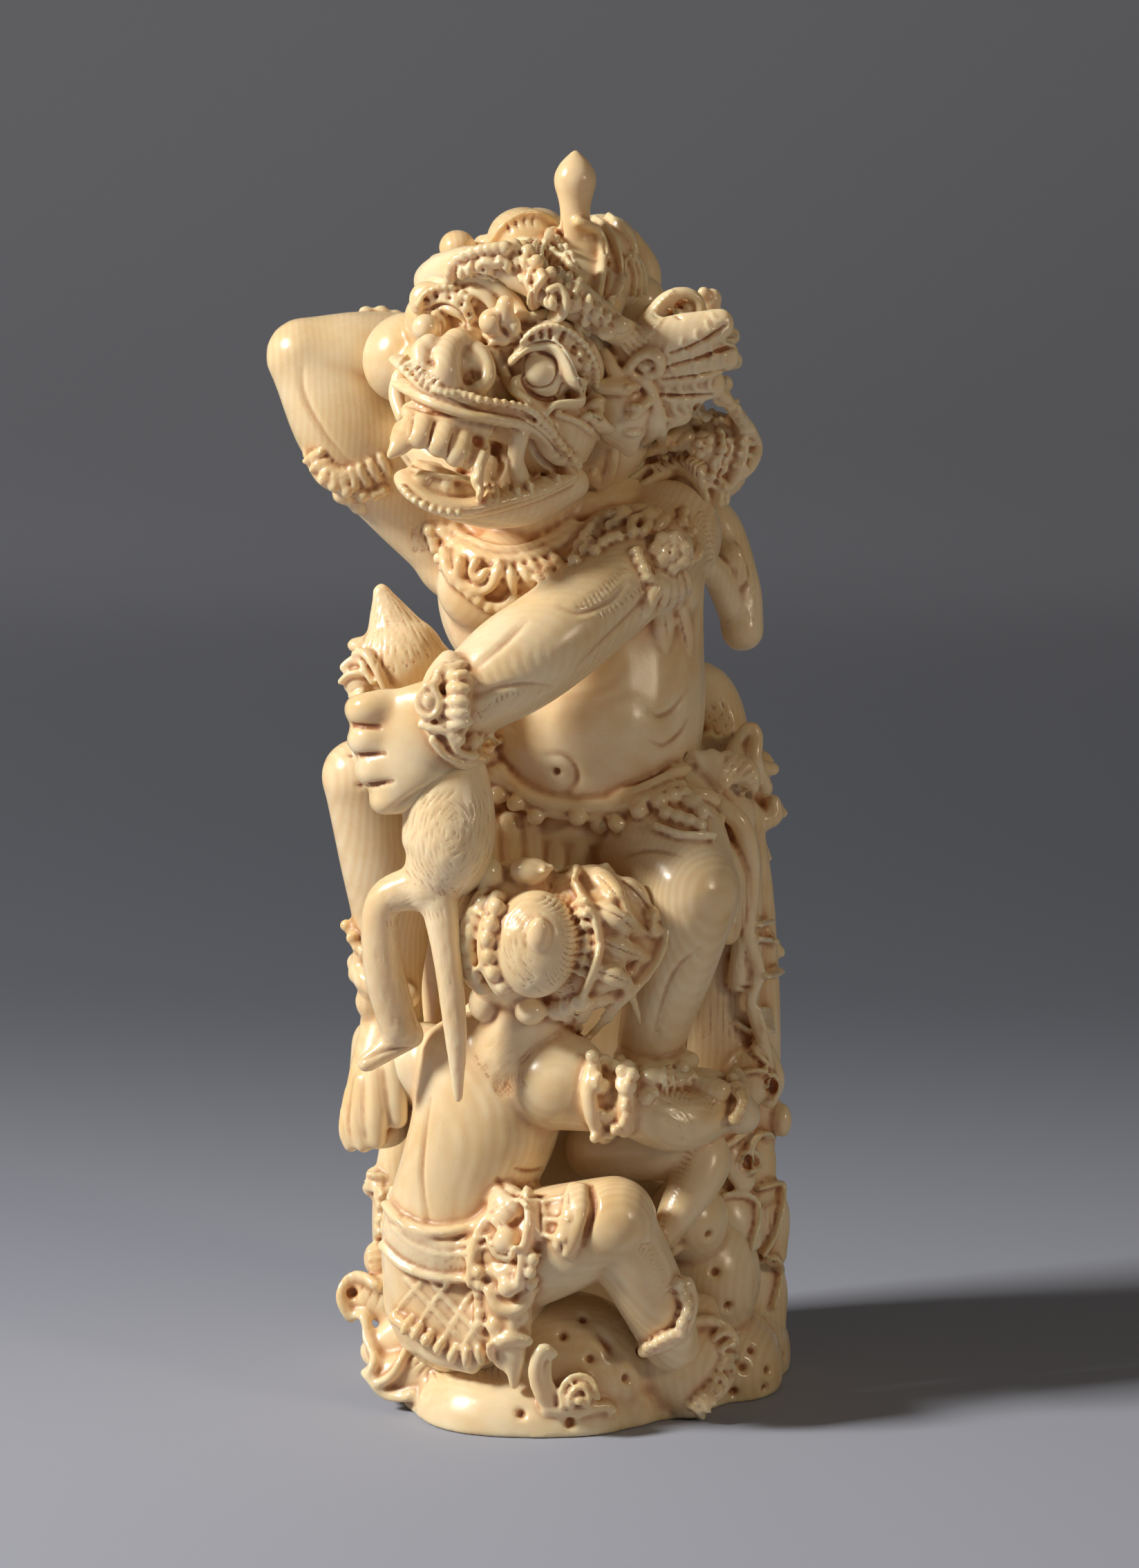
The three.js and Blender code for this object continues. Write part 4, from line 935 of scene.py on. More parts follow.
brows = [
    front.roll(BROW_LEFT, 1.8, 1.5, 1.1, 0.6),
    front.roll(BROW_RIGHT, 2.1, 1.6, 1.1, 0.5),
    # Broad smooth bands across the forehead.
    front.roll([(-16.6, 160.8), (-14, 161.8), (-11.2, 161), (-8.6, 158.9), (-7.2, 156.3)], 1.1, 1.2, 0.5),
    front.roll([(-15.6, 159.1), (-13.4, 159.9), (-11.6, 158.9), (-10.8, 157.7)], 0.9, 1.0, 0.5),
    front.roll([(-5.4, 155.9), (-2.4, 156.3), (1.4, 154.7), (4.2, 151.7)], 0.9, 1.0, 0.5),
    # The three-lobed knob between them.
    ball(seen((-11.2, 155.5), -26.8), [1.9, 1.7, 1.9]),
    drawn_limb([(-8.6, 154.1, -25, 1.2), (-9.3, 156.6, -26.8, 1.3), (-9.3, 158.1, -27, 1.25)]),
    ball(seen((-8, 154.9), -26.4), [1.0, 1.3, 1.5]),
    ball(seen((-9.9, 153.5), -24.6), [2.4, 2.0, 1.8]),
]
lips = [
    # The upper lip and the roll of whiskers on it.
    drawn_limb(
        [
            (-24, 146.5, -22, 0.9, 2), (-21.8, 145.3, -26, 0.95, 2), (-19.2, 143.9, -28.6, 0.95, 2),
            (-16.2, 142.7, -29.2, 0.95, 2), (-12.2, 141.8, -29, 0.95, 2), (-7.9, 140.9, -27, 1.0, 2),
            (-5, 139.7, -24.6, 1.0, 2), (-2.6, 137.1, -22, 1.0, 2), (0.4, 134.7, -18.5, 0.8, 2),
        ],
        wide=UP,
    ),
    drawn_limb(
        [
            (-24.8, 150.1, -20.5, 0.8, 1.6), (-22.4, 148.1, -25, 0.9, 1.8), (-19.8, 145.9, -28.2, 0.9, 2),
            (-16.2, 144.5, -29.2, 0.85, 2), (-12.2, 143.9, -28.8, 0.85, 2), (-7.9, 142.9, -26.8, 0.85, 2),
            (-4.6, 141.7, -24.2, 0.85, 2), (-2.2, 138.7, -21.6, 0.85, 2), (1, 135.7, -17.8, 0.7, 2),
        ],
        wide=UP,
    ),
    # The lower lip.
    drawn_limb(
        [
            (-23.6, 132.9, -27, 1.4, 2.0), (-22.2, 130.9, -29.2, 1.4, 2.2), (-19.4, 129.1, -30, 1.4, 2.4),
            (-15.2, 128.5, -29, 1.4, 2.4), (-10.4, 129.5, -26.6, 1.5, 2.4), (-5.4, 130.9, -24, 1.4, 2.2),
            (-0.2, 133.1, -20, 1.2, 2),
        ],
        wide=UP,
    ),
    # The cheek's left edge, drawn out thin.
    drawn_limb(
        [(-24.4, 147.6, -19.5, 1.3, 1.2), (-25, 144.9, -20, 1.2, 1.2), (-24.2, 141.7, -22, 1.0, 1.2)],
        wide=ACROSS,
    ),
]
jaw = [
    drawn_limb(
        [
            (-16.4, 129.1, -23, 2.4, 3), (-10.9, 128.5, -22, 2.8, 3), (-5.4, 129.5, -19.5, 3.0, 3),
            (0.1, 132.1, -16, 2.6, 3),
        ],
        wide=UP,
    ),
    front.roll(
        [(2.6, 143.1), (4.6, 143.7), (5.7, 142.1), (5.2, 140.4), (3.7, 140.1), (2.9, 141.1)],
        0.8, 1.5, 0.9,
    ),
    front.roll([(6.4, 138.1), (6, 134.1), (3.8, 130.9)], 0.8, 0.8, 0.4),
]
teeth = [
    drawn_limb(
        [(-23.8, 140.1, -27.4, 1.7, 1.2), (-24.4, 137.9, -29.8, 1.7, 1.1), (-25.8, 136.3, -30.4, 0.7)],
    ),
    drawn_limb([(-23.2, 141.5, -27.6, 0.9), (-23.7, 139.6, -28.8, 1.1, 1), (-24.2, 138.7, -29, 1.0)]),
    drawn_limb(
        [(-21, 141.3, -28.4, 1.45, 1.2), (-21.6, 139.3, -29.8, 1.55, 1.2), (-22, 138.1, -30, 1.45, 1)],
    ),
    drawn_limb([(-18, 140.1, -28.6, 1.55, 1.2), (-18.7, 138, -30, 1.7, 1.2), (-19.1, 136.9, -30, 1.55, 1)]),
    drawn_limb(
        [(-15.5, 138.7, -28.4, 1.5, 1.2), (-16.2, 136.6, -29.8, 1.6, 1.2), (-16.6, 135.5, -29.8, 1.45, 1)],
    ),
    drawn_limb([(-14, 137.5, -27.4, 0.9), (-14.4, 135.9, -28.4, 1.0), (-14.8, 134.9, -28.4, 0.8)]),
    drawn_limb(
        [
            (-12.2, 137.3, -27.6, 1.1), (-13, 134.9, -29.8, 0.9), (-13.4, 132.7, -30.2, 0.95),
            (-12.8, 130.8, -29.8, 0.6),
        ],
    ),
    drawn_limb([(-7.2, 132.9, -25, 1.5), (-7.8, 135.7, -26.6, 1.25), (-7.2, 139.1, -27.2, 1.35)]),
    drawn_limb(
        [
            (-22.6, 133.1, -27, 1.0), (-20.4, 131.9, -28, 1.3), (-17.4, 130.9, -27.8, 1.2),
            (-13.4, 130.5, -26, 1.2),
        ],
        wide=UP,
    ),
    ball(seen((-21.4, 132.7), -28.6), [1.3, 1.1, 1.1]),
    ball(seen((-17.8, 131.5), -28.4), [1.2, 1.1, 1.2]),
    # The tongue, and the gum over the teeth.
    drawn_limb(
        [(-21.8, 134.9, -24.4, 0.8, 3), (-18.4, 133.7, -25.6, 0.8, 4), (-14.2, 132.1, -24, 0.8, 4)],
        wide=UP,
    ),
    drawn_limb(
        [(-22.8, 142.5, -25.6, 1.5, 2), (-17.4, 141.3, -27.4, 1.5, 2), (-12.4, 139.9, -26, 1.4, 2)],
        wide=UP,
    ),
]
head = dressed(head, [*nose, *eyes, *lids, *brows, *lips, *jaw, *teeth], grain=0.3)

front = Front(head)
head = dressed(
    head,
    [
        # Whiskers on the lip, and a row of scallops under the lower one.
        *front.beads(
            [
                (-19.2, 146.1), (-16.2, 144.9), (-12.4, 144.1), (-7.9, 143.3), (-4.8, 142.1), (-2.4, 139.1),
                (0.6, 135.9),
            ],
            24, [0.55, 0.7, 0.62], 0.7,
        ),
        *front.bars([(-24.4, 150.1), (-22.2, 148.1), (-19.8, 146.3)], 7, 0.8, 0.36, 0.6, lift=0.8),
        *front.beads(
            [(-24, 131.5), (-22.4, 129.9), (-19.4, 128.5), (-16.2, 127.9)],
            9, [0.6, 0.7, 0.6], 0.5,
        ),
        *[front.frond(a, b, 0.55, 0.8, lift=0.6) for a, b in [
            ((-13, 131.7), (-13, 129.3)), ((-12, 131.5), (-11.8, 128.6)), ((-10.8, 131.5), (-10.6, 128.9)),
            ((-9.4, 131.7), (-9, 129.9)),
            ((-7.8, 132.1), (-7.2, 130.3)), ((-6.2, 132.5), (-5.4, 130.7)), ((-4.4, 132.9), (-3.4, 131.3)),
            ((-2.4, 133.3), (-1.4, 131.9)),
        ]],
        # The beaded rim of the brows, and the flower at the right one's end.
        *front.beads(
            [
                (-6.8, 152.7), (-4.8, 154.3), (-2.4, 154.8), (0.2, 153.9), (2.6, 151.6), (3.8, 148.6),
                (3.8, 146.5),
            ],
            20, [0.5, 0.6, 0.5], 0.5,
        ),
        *front.beads(
            [(-21.8, 158.1), (-20.6, 159.7), (-18.4, 160.4), (-16, 160), (-14, 158.3)],
            12, [0.5, 0.6, 0.5], 0.4,
        ),
        front.stud(2, 149.1, [0.8, 0.8, 1.0], 0.5),
        front.frond((0.8, 150.5), (1.8, 151.1), 0.5, 0.7, lift=0.7),
        front.frond((1.2, 147.3), (2.8, 146.9), 0.5, 0.7, lift=0.7),
        # Folds beside the nose.
        front.roll([(-11.2, 152.3), (-9.8, 149.3), (-8.6, 146.3), (-6.2, 143.9)], 0.7, 0.8, 0.3),
        front.roll([(-1.8, 142.1), (1.4, 140.9), (4.6, 138.1)], 0.4, 0.5, 0.4),
    ],
    grain=0.24,
)
engraved(head, [
    # The gouged hollows of the brows.
    (
        [
            [(-5.8, 152.5), (-5.2, 153.3)], [(-4.2, 152.9), (-4, 154.1)], [(-2.8, 152.9), (-2.8, 154.3)],
            [(-1.2, 152.7), (-0.8, 153.9)], [(0.4, 151.3), (1, 152.1)],
        ],
        0.62, 0.7,
    ),
    (
        [
            [(-20.6, 158.1), (-20.7, 158.9)], [(-19.3, 158.7), (-19.4, 159.6)],
            [(-17.4, 158.6), (-17.4, 159.5)], [(-15.8, 157.7), (-15.4, 158.5)],
            [(-14.8, 156.3), (-14.2, 156.9)],
        ],
        0.62, 0.6,
    ),
    # Undercuts round the eyes, the brows and the knob.
    ([[(-6.7, 149.3), (-6.7, 146.9), (-5.4, 145.1), (-3.4, 144.3), (-1.8, 144.7), (-1, 146.5)]], 0.5, 0.6),
    (
        [
            [
                (-6.8, 148.5), (-6.2, 150.6), (-4.4, 151.1), (-2.4, 150.3), (-1.8, 148.3), (-2.6, 146.5),
                (-4.4, 145.9), (-6, 146.5), (-6.8, 148.5),
            ],
        ],
        0.35, 0.4,
    ),
    ([[(-7.8, 150.9), (-5.6, 152.1), (-2.6, 152.4), (-0.4, 150.9), (1.2, 147.6), (2.4, 145.1)]], 0.55, 0.8),
    ([[(-21.2, 156.9), (-18.4, 157.9), (-16, 156.9), (-14.8, 154.6)]], 0.55, 0.6),
    (
        [
            [(-12.4, 152.9), (-10.6, 151.7), (-8.2, 152.1), (-6.8, 153.5)],
            [(-10, 156.5), (-9.8, 154.7), (-9, 153.5)],
        ],
        0.6, 0.5,
    ),
    # The nostrils, and the swirl on the knob.
    ([[(-14.2, 148.7), (-14, 147.8), (-14.3, 147.1)]], 1.5, 0.9),
    ([[(-20.2, 150.1), (-19.8, 148.9)]], 0.9, 0.6),
    ([[(-11.6, 156.3), (-10.6, 156.5), (-10.2, 155.5), (-10.8, 154.7)]], 0.3, 0.25),
    # Between the teeth, the lips and the gum.
    (
        [
            [(-22.6, 141.5), (-23.2, 138.9)], [(-19.6, 140.9), (-20.4, 137.5)],
            [(-16.8, 139.3), (-17.7, 136.1)], [(-14.3, 137.9), (-15, 135.3)],
        ],
        0.34, 0.45,
    ),
    (
        [
            [(-23.4, 135.3), (-20.4, 134.5), (-16.4, 133.7), (-14, 133.7)],
            [(-13.4, 138.1), (-10.9, 137.1), (-8.9, 135.3)],
            [(-10.8, 138.1), (-9.8, 135.6), (-10.4, 133.1)],
        ],
        1.1, 1.0,
    ),
    ([[(-23.4, 143.3), (-19.8, 142.3), (-15.4, 141.5), (-10.4, 140.5), (-7.4, 139.7)]], 0.5, 0.5),
    (
        [[(-18.4, 144.9), (-14.4, 143.1), (-10.4, 142.3), (-6.4, 141.3), (-3.8, 139.1), (-1.2, 136.1)]],
        0.35, 0.4,
    ),
    ([[(-5.4, 138.1), (-4.4, 135.9), (-2.4, 134.3), (0.2, 133.7)]], 0.9, 0.7),
    ([[(-13.4, 127.6), (-7.9, 128.9), (-2.9, 130.5), (1.2, 132.7)]], 0.5, 0.5),
    ([[(3.8, 142.1), (4.2, 141.7), (4, 141.3)]], 0.9, 0.9),
    (ticks([(-22.4, 149.3), (-21.2, 148.1), (-19.6, 146.9)], 6, 0.9, 0.6), 0.25, 0.2),
])
finished(head, faces=150000)


# What the giant's head carries: a wreath of flowers, a knot of lobed hair with a bud on top, plumes
# behind the ear, and a curled comb on the shoulder. Each flower is drilled and cut round.
crown_forms = [
    ball([0.6, 2, 4], [12.4, 11.2, 11.5]),
    ball([3, 3, 11.5], [9.5, 9, 6]),
    ball([0, 9, 4], [12, 9, 12]),
    limb(
        [
            [-13.5, 0, 6, 2.5, 2.2], [-12.8, -6, 7.6, 2.5, 2.2], [-9.6, -9.5, 11.5, 2.5, 2.2],
            [-4.6, -11.5, 15, 2.5, 2.2], [1, -12, 16, 2.5, 2.2], [6.5, -11, 15.4, 2.5, 2.2],
            [11, -8.5, 14, 2.4, 2.2], [14, -5, 12.4, 2.2, 2.2], [15.6, 0, 10.5, 2.2, 2.2],
        ],
        wide=UP,
    ),
    # The wing of plumes behind the ear.
    leaf([15, -1, 7], [27, 2.5, 17.5], [0.3, -1, 0.2], 3.6, 2.2, blunt=0.6),
    leaf([15, 0, 5], [29, 4, 13], [0.3, -1, 0.2], 3.6, 2.2, blunt=0.6),
    leaf([15, 1, 2], [28.4, 5, 8], [0.3, -1, 0.2], 3.4, 2.2, blunt=0.6),
    leaf([15, 1, -1], [25.5, 4, 2.5], [0.3, -1, 0.2], 3.4, 2.4, blunt=0.6),
    leaf([14.5, -1.5, 6], [21.5, 0, -5], [0.3, -1, 0], 4.6, 2.8),
    ball([16, 1.5, 0], [5, 4, 7]),
]
crown = fused(
    "giant_crown",
    [
        *placed(crown_forms, HEAD),
        # The bun's lobes.
        ball(seen((-6.7, 167.4), -3), [5.2, 6, 4.6]),
        ball(seen((-4.6, 169), 1), [4, 5, 3]),
        ball(seen((1.9, 164.2), -4.6), [3.6, 6.0, 6.2]),
        ball(seen((6.1, 163.5), 0), [3.6, 7, 6.5]),
        ball(seen((8.6, 161.5), 2), [2.4, 6, 4.4]),
        ball(seen((4.6, 167.5), 3), [5, 5, 3.6]),
        drawn_limb([(10.6, 158.5, 6, 2.6, 2), (10.4, 163, 6, 2.8, 2), (8.9, 167.7, 6, 1.4, 1.4)]),
        ball(seen((-16.2, 166.2), -4), [2.7, 3.2, 2.6]),
        ball(seen((15.1, 138.9), 1), [5, 3, 5]),
        ball(seen((-12.4, 166.8), 0), [1.6, 2, 1.4]),
        # The bud on top.
        limb(
            [
                [0.8, -7, 165.5, 3], [0.8, -8, 169.5, 2.2], [0.8, -8, 172.4, 2.35], [0.8, -8, 175.4, 3.1],
                [0.8, -8, 177.6, 2.3], [0.8, -8, 179.4, 0.6],
            ],
        ),
        # The comb on the shoulder behind.
        ball([21, 1, 136], [4.8, 3.4, 6.6]),
        ball([20.5, -1, 137], [3.4, 3, 4.6]),
        leaf([17, 3, 132], [25.6, 3, 138], [0.2, -1, 0], 5, 3),
        leaf([15, 0, 129], [21, 0, 131], [0.2, -1, 0.4], 4.2, 3),
        ball([13, 3, 131], [6, 4.6, 5]),
    ],
    grain=0.5,
    rounds=4,
)
front = Front(crown)
flutes = [
    # The bun's lobes, with sharp edges over deep grooves.
    front.roll([(1.2, 170), (3.4, 168.6), (4.4, 166), (4.3, 162.5), (3.8, 159.1)], 0.7, 1.0, 0.5),
    front.roll([(3.8, 169.8), (6.2, 167.5), (7.3, 164.5), (7, 161), (5.4, 157.7)], 0.65, 1.0, 0.5),
    front.roll([(5.6, 170.2), (8, 168), (9, 165.4)], 0.6, 0.9, 0.5),
    front.roll([(-11.2, 166.8), (-8.9, 169.6), (-5.4, 171), (-2.6, 169.8), (-1.9, 168.5)], 0.5, 0.8, 0.3),
    # The shell at the side of the crown.
    *[
        ball(seen(p, -11.4), [2.2, 2.6, 1.3])
        for p in ((-18.2, 164.2), (-19.2, 162.7), (-19.8, 161.1), (-20.4, 159.5))
    ],
    # A broad smooth band over the brow.
    front.roll([(-4.8, 155.5), (-1.8, 155.7), (1.8, 154.1), (4.8, 150.9), (6.8, 147.5)], 1.0, 1.1, 0.5),
    front.roll([(-16.4, 162.8), (-13.4, 164.6), (-10, 165.2), (-7, 165.4), (-4.8, 163.6)], 1.7, 1.2, 0.3),
    front.roll([(-3.9, 162), (-2.4, 159.1), (0.6, 159.6), (3.4, 157.5), (6, 155.3)], 1.9, 1.3, 0.3),
    front.roll([(-6.8, 166.4), (-4, 165.8), (-1.8, 164.2), (0, 162.6)], 0.9, 1.1, 0.5),
]
plumes = [
    # The great scroll.
    drawn_limb(
        [
            (6.9, 149.3, -12.5, 1.1), (9.1, 152.6, -14, 1.2), (11.4, 155.7, -15, 1.2),
            (13.6, 158.5, -15.4, 1.1), (16.2, 159.7, -15.2, 0.95), (18.4, 158.9, -14.8, 0.85),
            (19, 156.9, -14.6, 0.8), (17.8, 155.3, -14.6, 0.75), (16, 155.5, -14.8, 0.7),
            (15.4, 157.1, -15, 0.6),
        ],
    ),
    ball(seen((16.9, 157.3), -14.2), [0.9, 1.1, 0.9]),
    ball(seen((14.2, 155.3), -12), [4.6, 1.6, 3.4]),
    ball(seen((16, 157.5), -12.6), [3.2, 1.2, 2.6]),
    ball(seen((11.2, 155.1), -16), [1.3, 1.2, 1.3]),
    drawn_limb([(12.6, 153.1, -13, 0.8), (15.6, 153.5, -12.4, 0.8), (18.4, 154.7, -11.6, 0.7)]),
    *[
        ball(seen(p, -11.6), [0.75, 0.9, 1.1])
        for p in ((13.4, 152.1), (14.8, 152.3), (16.2, 152.7), (17.6, 153.2), (18.8, 153.9))
    ],
    # The feathers.
    *[
        limb([seen(a, d, 0.8, 0.9), seen(b, d - 1.2, 1.3, 1.0), seen(c, d + 0.6, 1.35, 1.1)], wide=UP)
        for a, b, c, d in [
            ((13.4, 151.3), (18, 153.5), (21.4, 155.9), -9.6),
            ((13.8, 149.7), (18.8, 151.3), (23.6, 153.5), -8.2),
            ((13.4, 148.1), (18.6, 148.9), (24, 149.9), -7.0),
            ((12.8, 146.1), (17.6, 146.3), (22.6, 146.5), -6.4),
            ((12.4, 144.1), (15.6, 143.5), (18.6, 142.7), -6.4),
        ]
    ],
    # The ear's curl, and the strand in front of it.
    *[front.roll(p, 0.75, 1.0, 0.8) for p in [
        [(7.9, 148.1), (9.8, 150.5), (12.1, 151.2), (13.3, 150.1), (12.9, 148.5), (11.6, 148.5)],
        [(8.6, 147.3), (11.1, 147.3), (12.2, 145.6), (12.8, 142.1), (13.6, 138.3)],
        [(9, 142.1), (11.1, 144.3), (12.2, 145.5)],
        [(11.1, 138.1), (11.6, 142.1), (12.4, 144.6)],
    ]],
    front.roll([(4.8, 146.1), (6.6, 146.1), (7.9, 145.8)], 1.2, 1.3, 0.7),
]
comb = [
    front.roll([(21.6, 143.1), (23.8, 141.1), (24.2, 137.1), (23.2, 133.1), (21.2, 129.5)], 0.7, 1.2, 0.8),
    front.roll([(22.8, 144.6), (25.4, 142.5), (26.2, 138.1), (25.4, 134.9), (24, 133.5)], 0.9, 1.3, 0.6),
    front.roll(
        [(8.6, 132.1), (12.6, 134.9), (17.6, 135.7), (19.6, 134.1), (20.6, 131.1), (20.8, 129.1)],
        0.6, 1.1, 0.8,
    ),
    front.roll([(9.1, 130.6), (13.1, 133.1), (16.6, 133.5), (18.4, 132.1), (19.4, 129.9)], 0.7, 1.1, 0.6),
    front.roll([(11.1, 136.6), (14.1, 138.1), (16.6, 140.3)], 1.1, 1.2, 0.5),
    ball(seen((19, 137.7), -5.5), [1.2, 1.2, 1.2]),
]
crown = dressed(crown, [*flutes, *plumes, *comb], grain=0.34)

front = Front(crown)
flowers = [
    *front.beads(
        [(-17.2, 161.8), (-17, 163.2), (-15.8, 164.5), (-14, 165.4), (-12.2, 165.8), (-10.6, 166)],
        9, [0.85, 0.8, 0.85], 0.5,
    ),
    *front.beads([(-9.4, 166), (-7.8, 166.2), (-6.2, 165.6), (-4.8, 164.2)], 5, [1.0, 0.9, 1.0], 0.5),
    *front.scroll(-12.1, 163.1, 1.6, 0.6, 1.4, 0.5),
    *[front.frond(a, b, 0.7, 0.9, lift=0.5) for a, b in [
        ((-15.6, 161.8), (-15.2, 164)), ((-14.4, 162.2), (-14.2, 164.4)), ((-10, 163.6), (-10.2, 165.4)),
        ((-8.8, 162.8), (-9.4, 164.8)),
        ((-7.6, 163.6), (-7.9, 165.4)), ((-6.2, 162.8), (-6, 165.4)), ((-7.2, 162.2), (-5.6, 161.2)),
        ((-10.8, 161.8), (-12, 160.8)),
        ((-5.4, 159.7), (-5.4, 163.6)), ((-1.6, 161.4), (-1.2, 163.4)), ((-0.4, 160.8), (0.2, 162.8)),
        ((0.8, 159.7), (1.4, 161.8)),
        ((1.2, 157.3), (0.8, 159.7)), ((2.4, 156.9), (2.8, 159.7)), ((3.8, 156.1), (4.2, 158.5)),
        ((5, 155.3), (5.6, 157.3)),
        ((2.6, 155.1), (2.2, 156.5)), ((0.2, 156.9), (-0.4, 158.7)),
    ]],
    # The great flower: a bead in a hood of petals.
    front.roll(
        [
            (-3.8, 161.8), (-4.8, 160), (-4.4, 157.7), (-2.8, 156.7), (-1, 157.3), (-0.6, 159.1),
            (-1.8, 160.4), (-3, 160.2),
        ],
        0.65, 1.0, 0.8,
    ),
    front.stud(-2.6, 158.6, [1.1, 1.0, 1.1], 0.7),
    front.stud(-4.1, 161.8, [0.9, 0.9, 1.4], 0.5),
    front.stud(-2.8, 162.5, [0.8, 0.9, 0.9], 0.4),
    *front.beads([(1.4, 155.1), (3.2, 153.9), (4.4, 152.7)], 4, [0.7, 0.7, 0.7], 0.6),
    front.stud(5.3, 154.3, [1.3, 1.1, 1.1], 0.5),
    front.stud(7, 155.1, [1.4, 1.1, 1.3], 0.4),
    # The chain along the bun, and the cord beside it.
    *front.beads(
        [(-2.6, 167.8), (-1.8, 166.4), (-0.7, 165.2), (0, 163.9), (0.6, 162.6), (1.6, 161.4)],
        7, [0.95, 1.0, 0.95], 0.6,
    ),
    front.frond((-3.4, 166.8), (-2.3, 169), 0.9, 1.0, lift=0.6),
    *front.bars([(-6.4, 166.6), (-3.8, 165.9), (-1.6, 164.3), (0, 162.7)], 8, 0.9, 0.4, lean=0.5, lift=0.5),
    # Fine ribs at the right of the bun.
    *[front.roll(path, 0.32, 0.6, 0.5) for path in [
        [(8.2, 165), (9.2, 162.4), (9.1, 159.7)],
        [(8.8, 165.2), (9.9, 162.4), (9.8, 159.5)],
        [(9.4, 165), (10.5, 162.2), (10.5, 159.7)],
    ]],
    # Ribs of the plumes.
    *front.bars(
        [(8.1, 151.1), (10.6, 153.9), (12.8, 156.5), (15.2, 158.9)],
        14, 1.0, 0.34, lean=0.5, lift=0.3,
    ),
    *[stroke for path in [
        [(13.6, 151.3), (16.6, 152.1), (19.4, 153.9), (20.8, 155.5)],
        [(14.1, 149.1), (18.4, 150.5), (21.4, 152.1), (23, 153.5)],
        [(15.1, 147.3), (18.6, 148.5), (21.2, 149.5), (23.4, 150.1)],
        [(13.6, 144.6), (17.6, 146.1), (22, 146.5)],
        [(13.4, 141.6), (16.1, 143.1), (18.2, 143.1)],
    ] for stroke in front.bars(path, 5, 0.9, 0.3, lean=0.9, lift=0.15)],
    ball(seen((20.6, 158.7), -9), [1.4, 1.4, 1.6]),
    drawn_limb([(19.4, 159.7, -10, 0.9), (21, 157.5, -9, 0.9), (21.2, 155.7, -8.5, 0.8)]),
    front.frond((10, 149.3), (12.2, 149.7), 0.8, 0.9, lift=0.7),
    *front.bars([(9.1, 146.1), (9.4, 143.1), (9.2, 139.6)], 3, 0.7, 0.6, lift=0.5),
    # The flower and beads of the comb.
    *front.rosette(18.8, 137.9, 1.9, 7),
    *front.beads(
        [(18, 140.9), (19.6, 142.1), (21, 141.5), (21.7, 140.1), (22.2, 138.7), (22, 137.1)],
        7, [0.8, 0.9, 0.8], 0.6,
    ),
    front.frond((15.1, 137.1), (17.6, 140.1), 1.2, 1.1, lift=0.6),
    front.stud(13.6, 136.6, [1.0, 0.8, 0.8], 0.4),
    front.stud(15.1, 137.6, [0.9, 0.8, 0.7], 0.4),
    *front.scroll(21.8, 134.7, 1.6, 0.5, 1.2, 1.0),
    front.roll([(20, 133.1), (22.2, 132.7), (22.8, 131.5)], 0.5, 0.8, 0.6),
    *front.bars([(23.8, 143.6), (25.4, 141.5), (25.8, 138.1), (24.8, 134.5)], 7, 0.8, 0.5, lift=0.5),
]
crown = dressed(crown, flowers, grain=0.25)
engraved(crown, [
    (
        [
            [(4.8, 167.5), (5.6, 164.5), (5.6, 161.5), (4.4, 158.1)],
            [(7.4, 167), (8.2, 163.5), (7.8, 159.6)],
        ],
        0.6, 0.6,
    ),
    ([[(-1.2, 169.8), (-1.2, 167.5), (-0.2, 165.5), (1.4, 163.5)]], 0.7, 0.6),
    ([[(16.6, 157.3), (15.4, 157.9), (15.2, 156.5), (16.1, 155.9)]], 0.5, 0.5),
    (ticks([(-8.9, 169), (-7.2, 169.8), (-5.4, 170)], 4, 0.7, 0.3), 0.4, 0.25),
    (
        [
            [(-2.9, 159.6), (-3.4, 158.7), (-3, 157.7)], [(-1.6, 159.1), (-1.6, 157.9)],
            [(-12.7, 163.2), (-12.4, 162.6)],
        ],
        0.45, 0.5,
    ),
    (
        [
            [(-5.6, 162), (-5.2, 158.1), (-4.2, 156.3)],
            [(-16.4, 161.2), (-13.4, 162.2), (-10.2, 161.2), (-7.4, 159.1)],
        ],
        0.5, 0.5,
    ),
    (ticks([(12.1, 134.9), (16.1, 135.7), (18.4, 134.5)], 8, 1.2, 0.6), 0.35, 0.3),
    # Between the feathers.
    ([
        [(14.6, 150.9), (18.1, 152.1), (20.6, 153.5), (22.4, 154.9)],
        [(14.1, 148.9), (18.6, 150.1), (21.6, 151.3), (23.8, 151.9)],
        [(13.6, 147.1), (18.6, 147.6), (22.1, 148.3), (23.8, 148.3)],
        [(13.1, 144.9), (16.6, 144.7), (20.6, 144.9)],
    ], 0.5, 0.8),
    (
        [
            [(8.1, 133.1), (12.1, 135.7), (16.6, 136.7)],
            [(21.1, 142.1), (22.8, 139.6), (22.8, 136.1), (21.2, 132.1)],
        ],
        0.7, 0.9,
    ),
])
finished(crown, faces=160000)

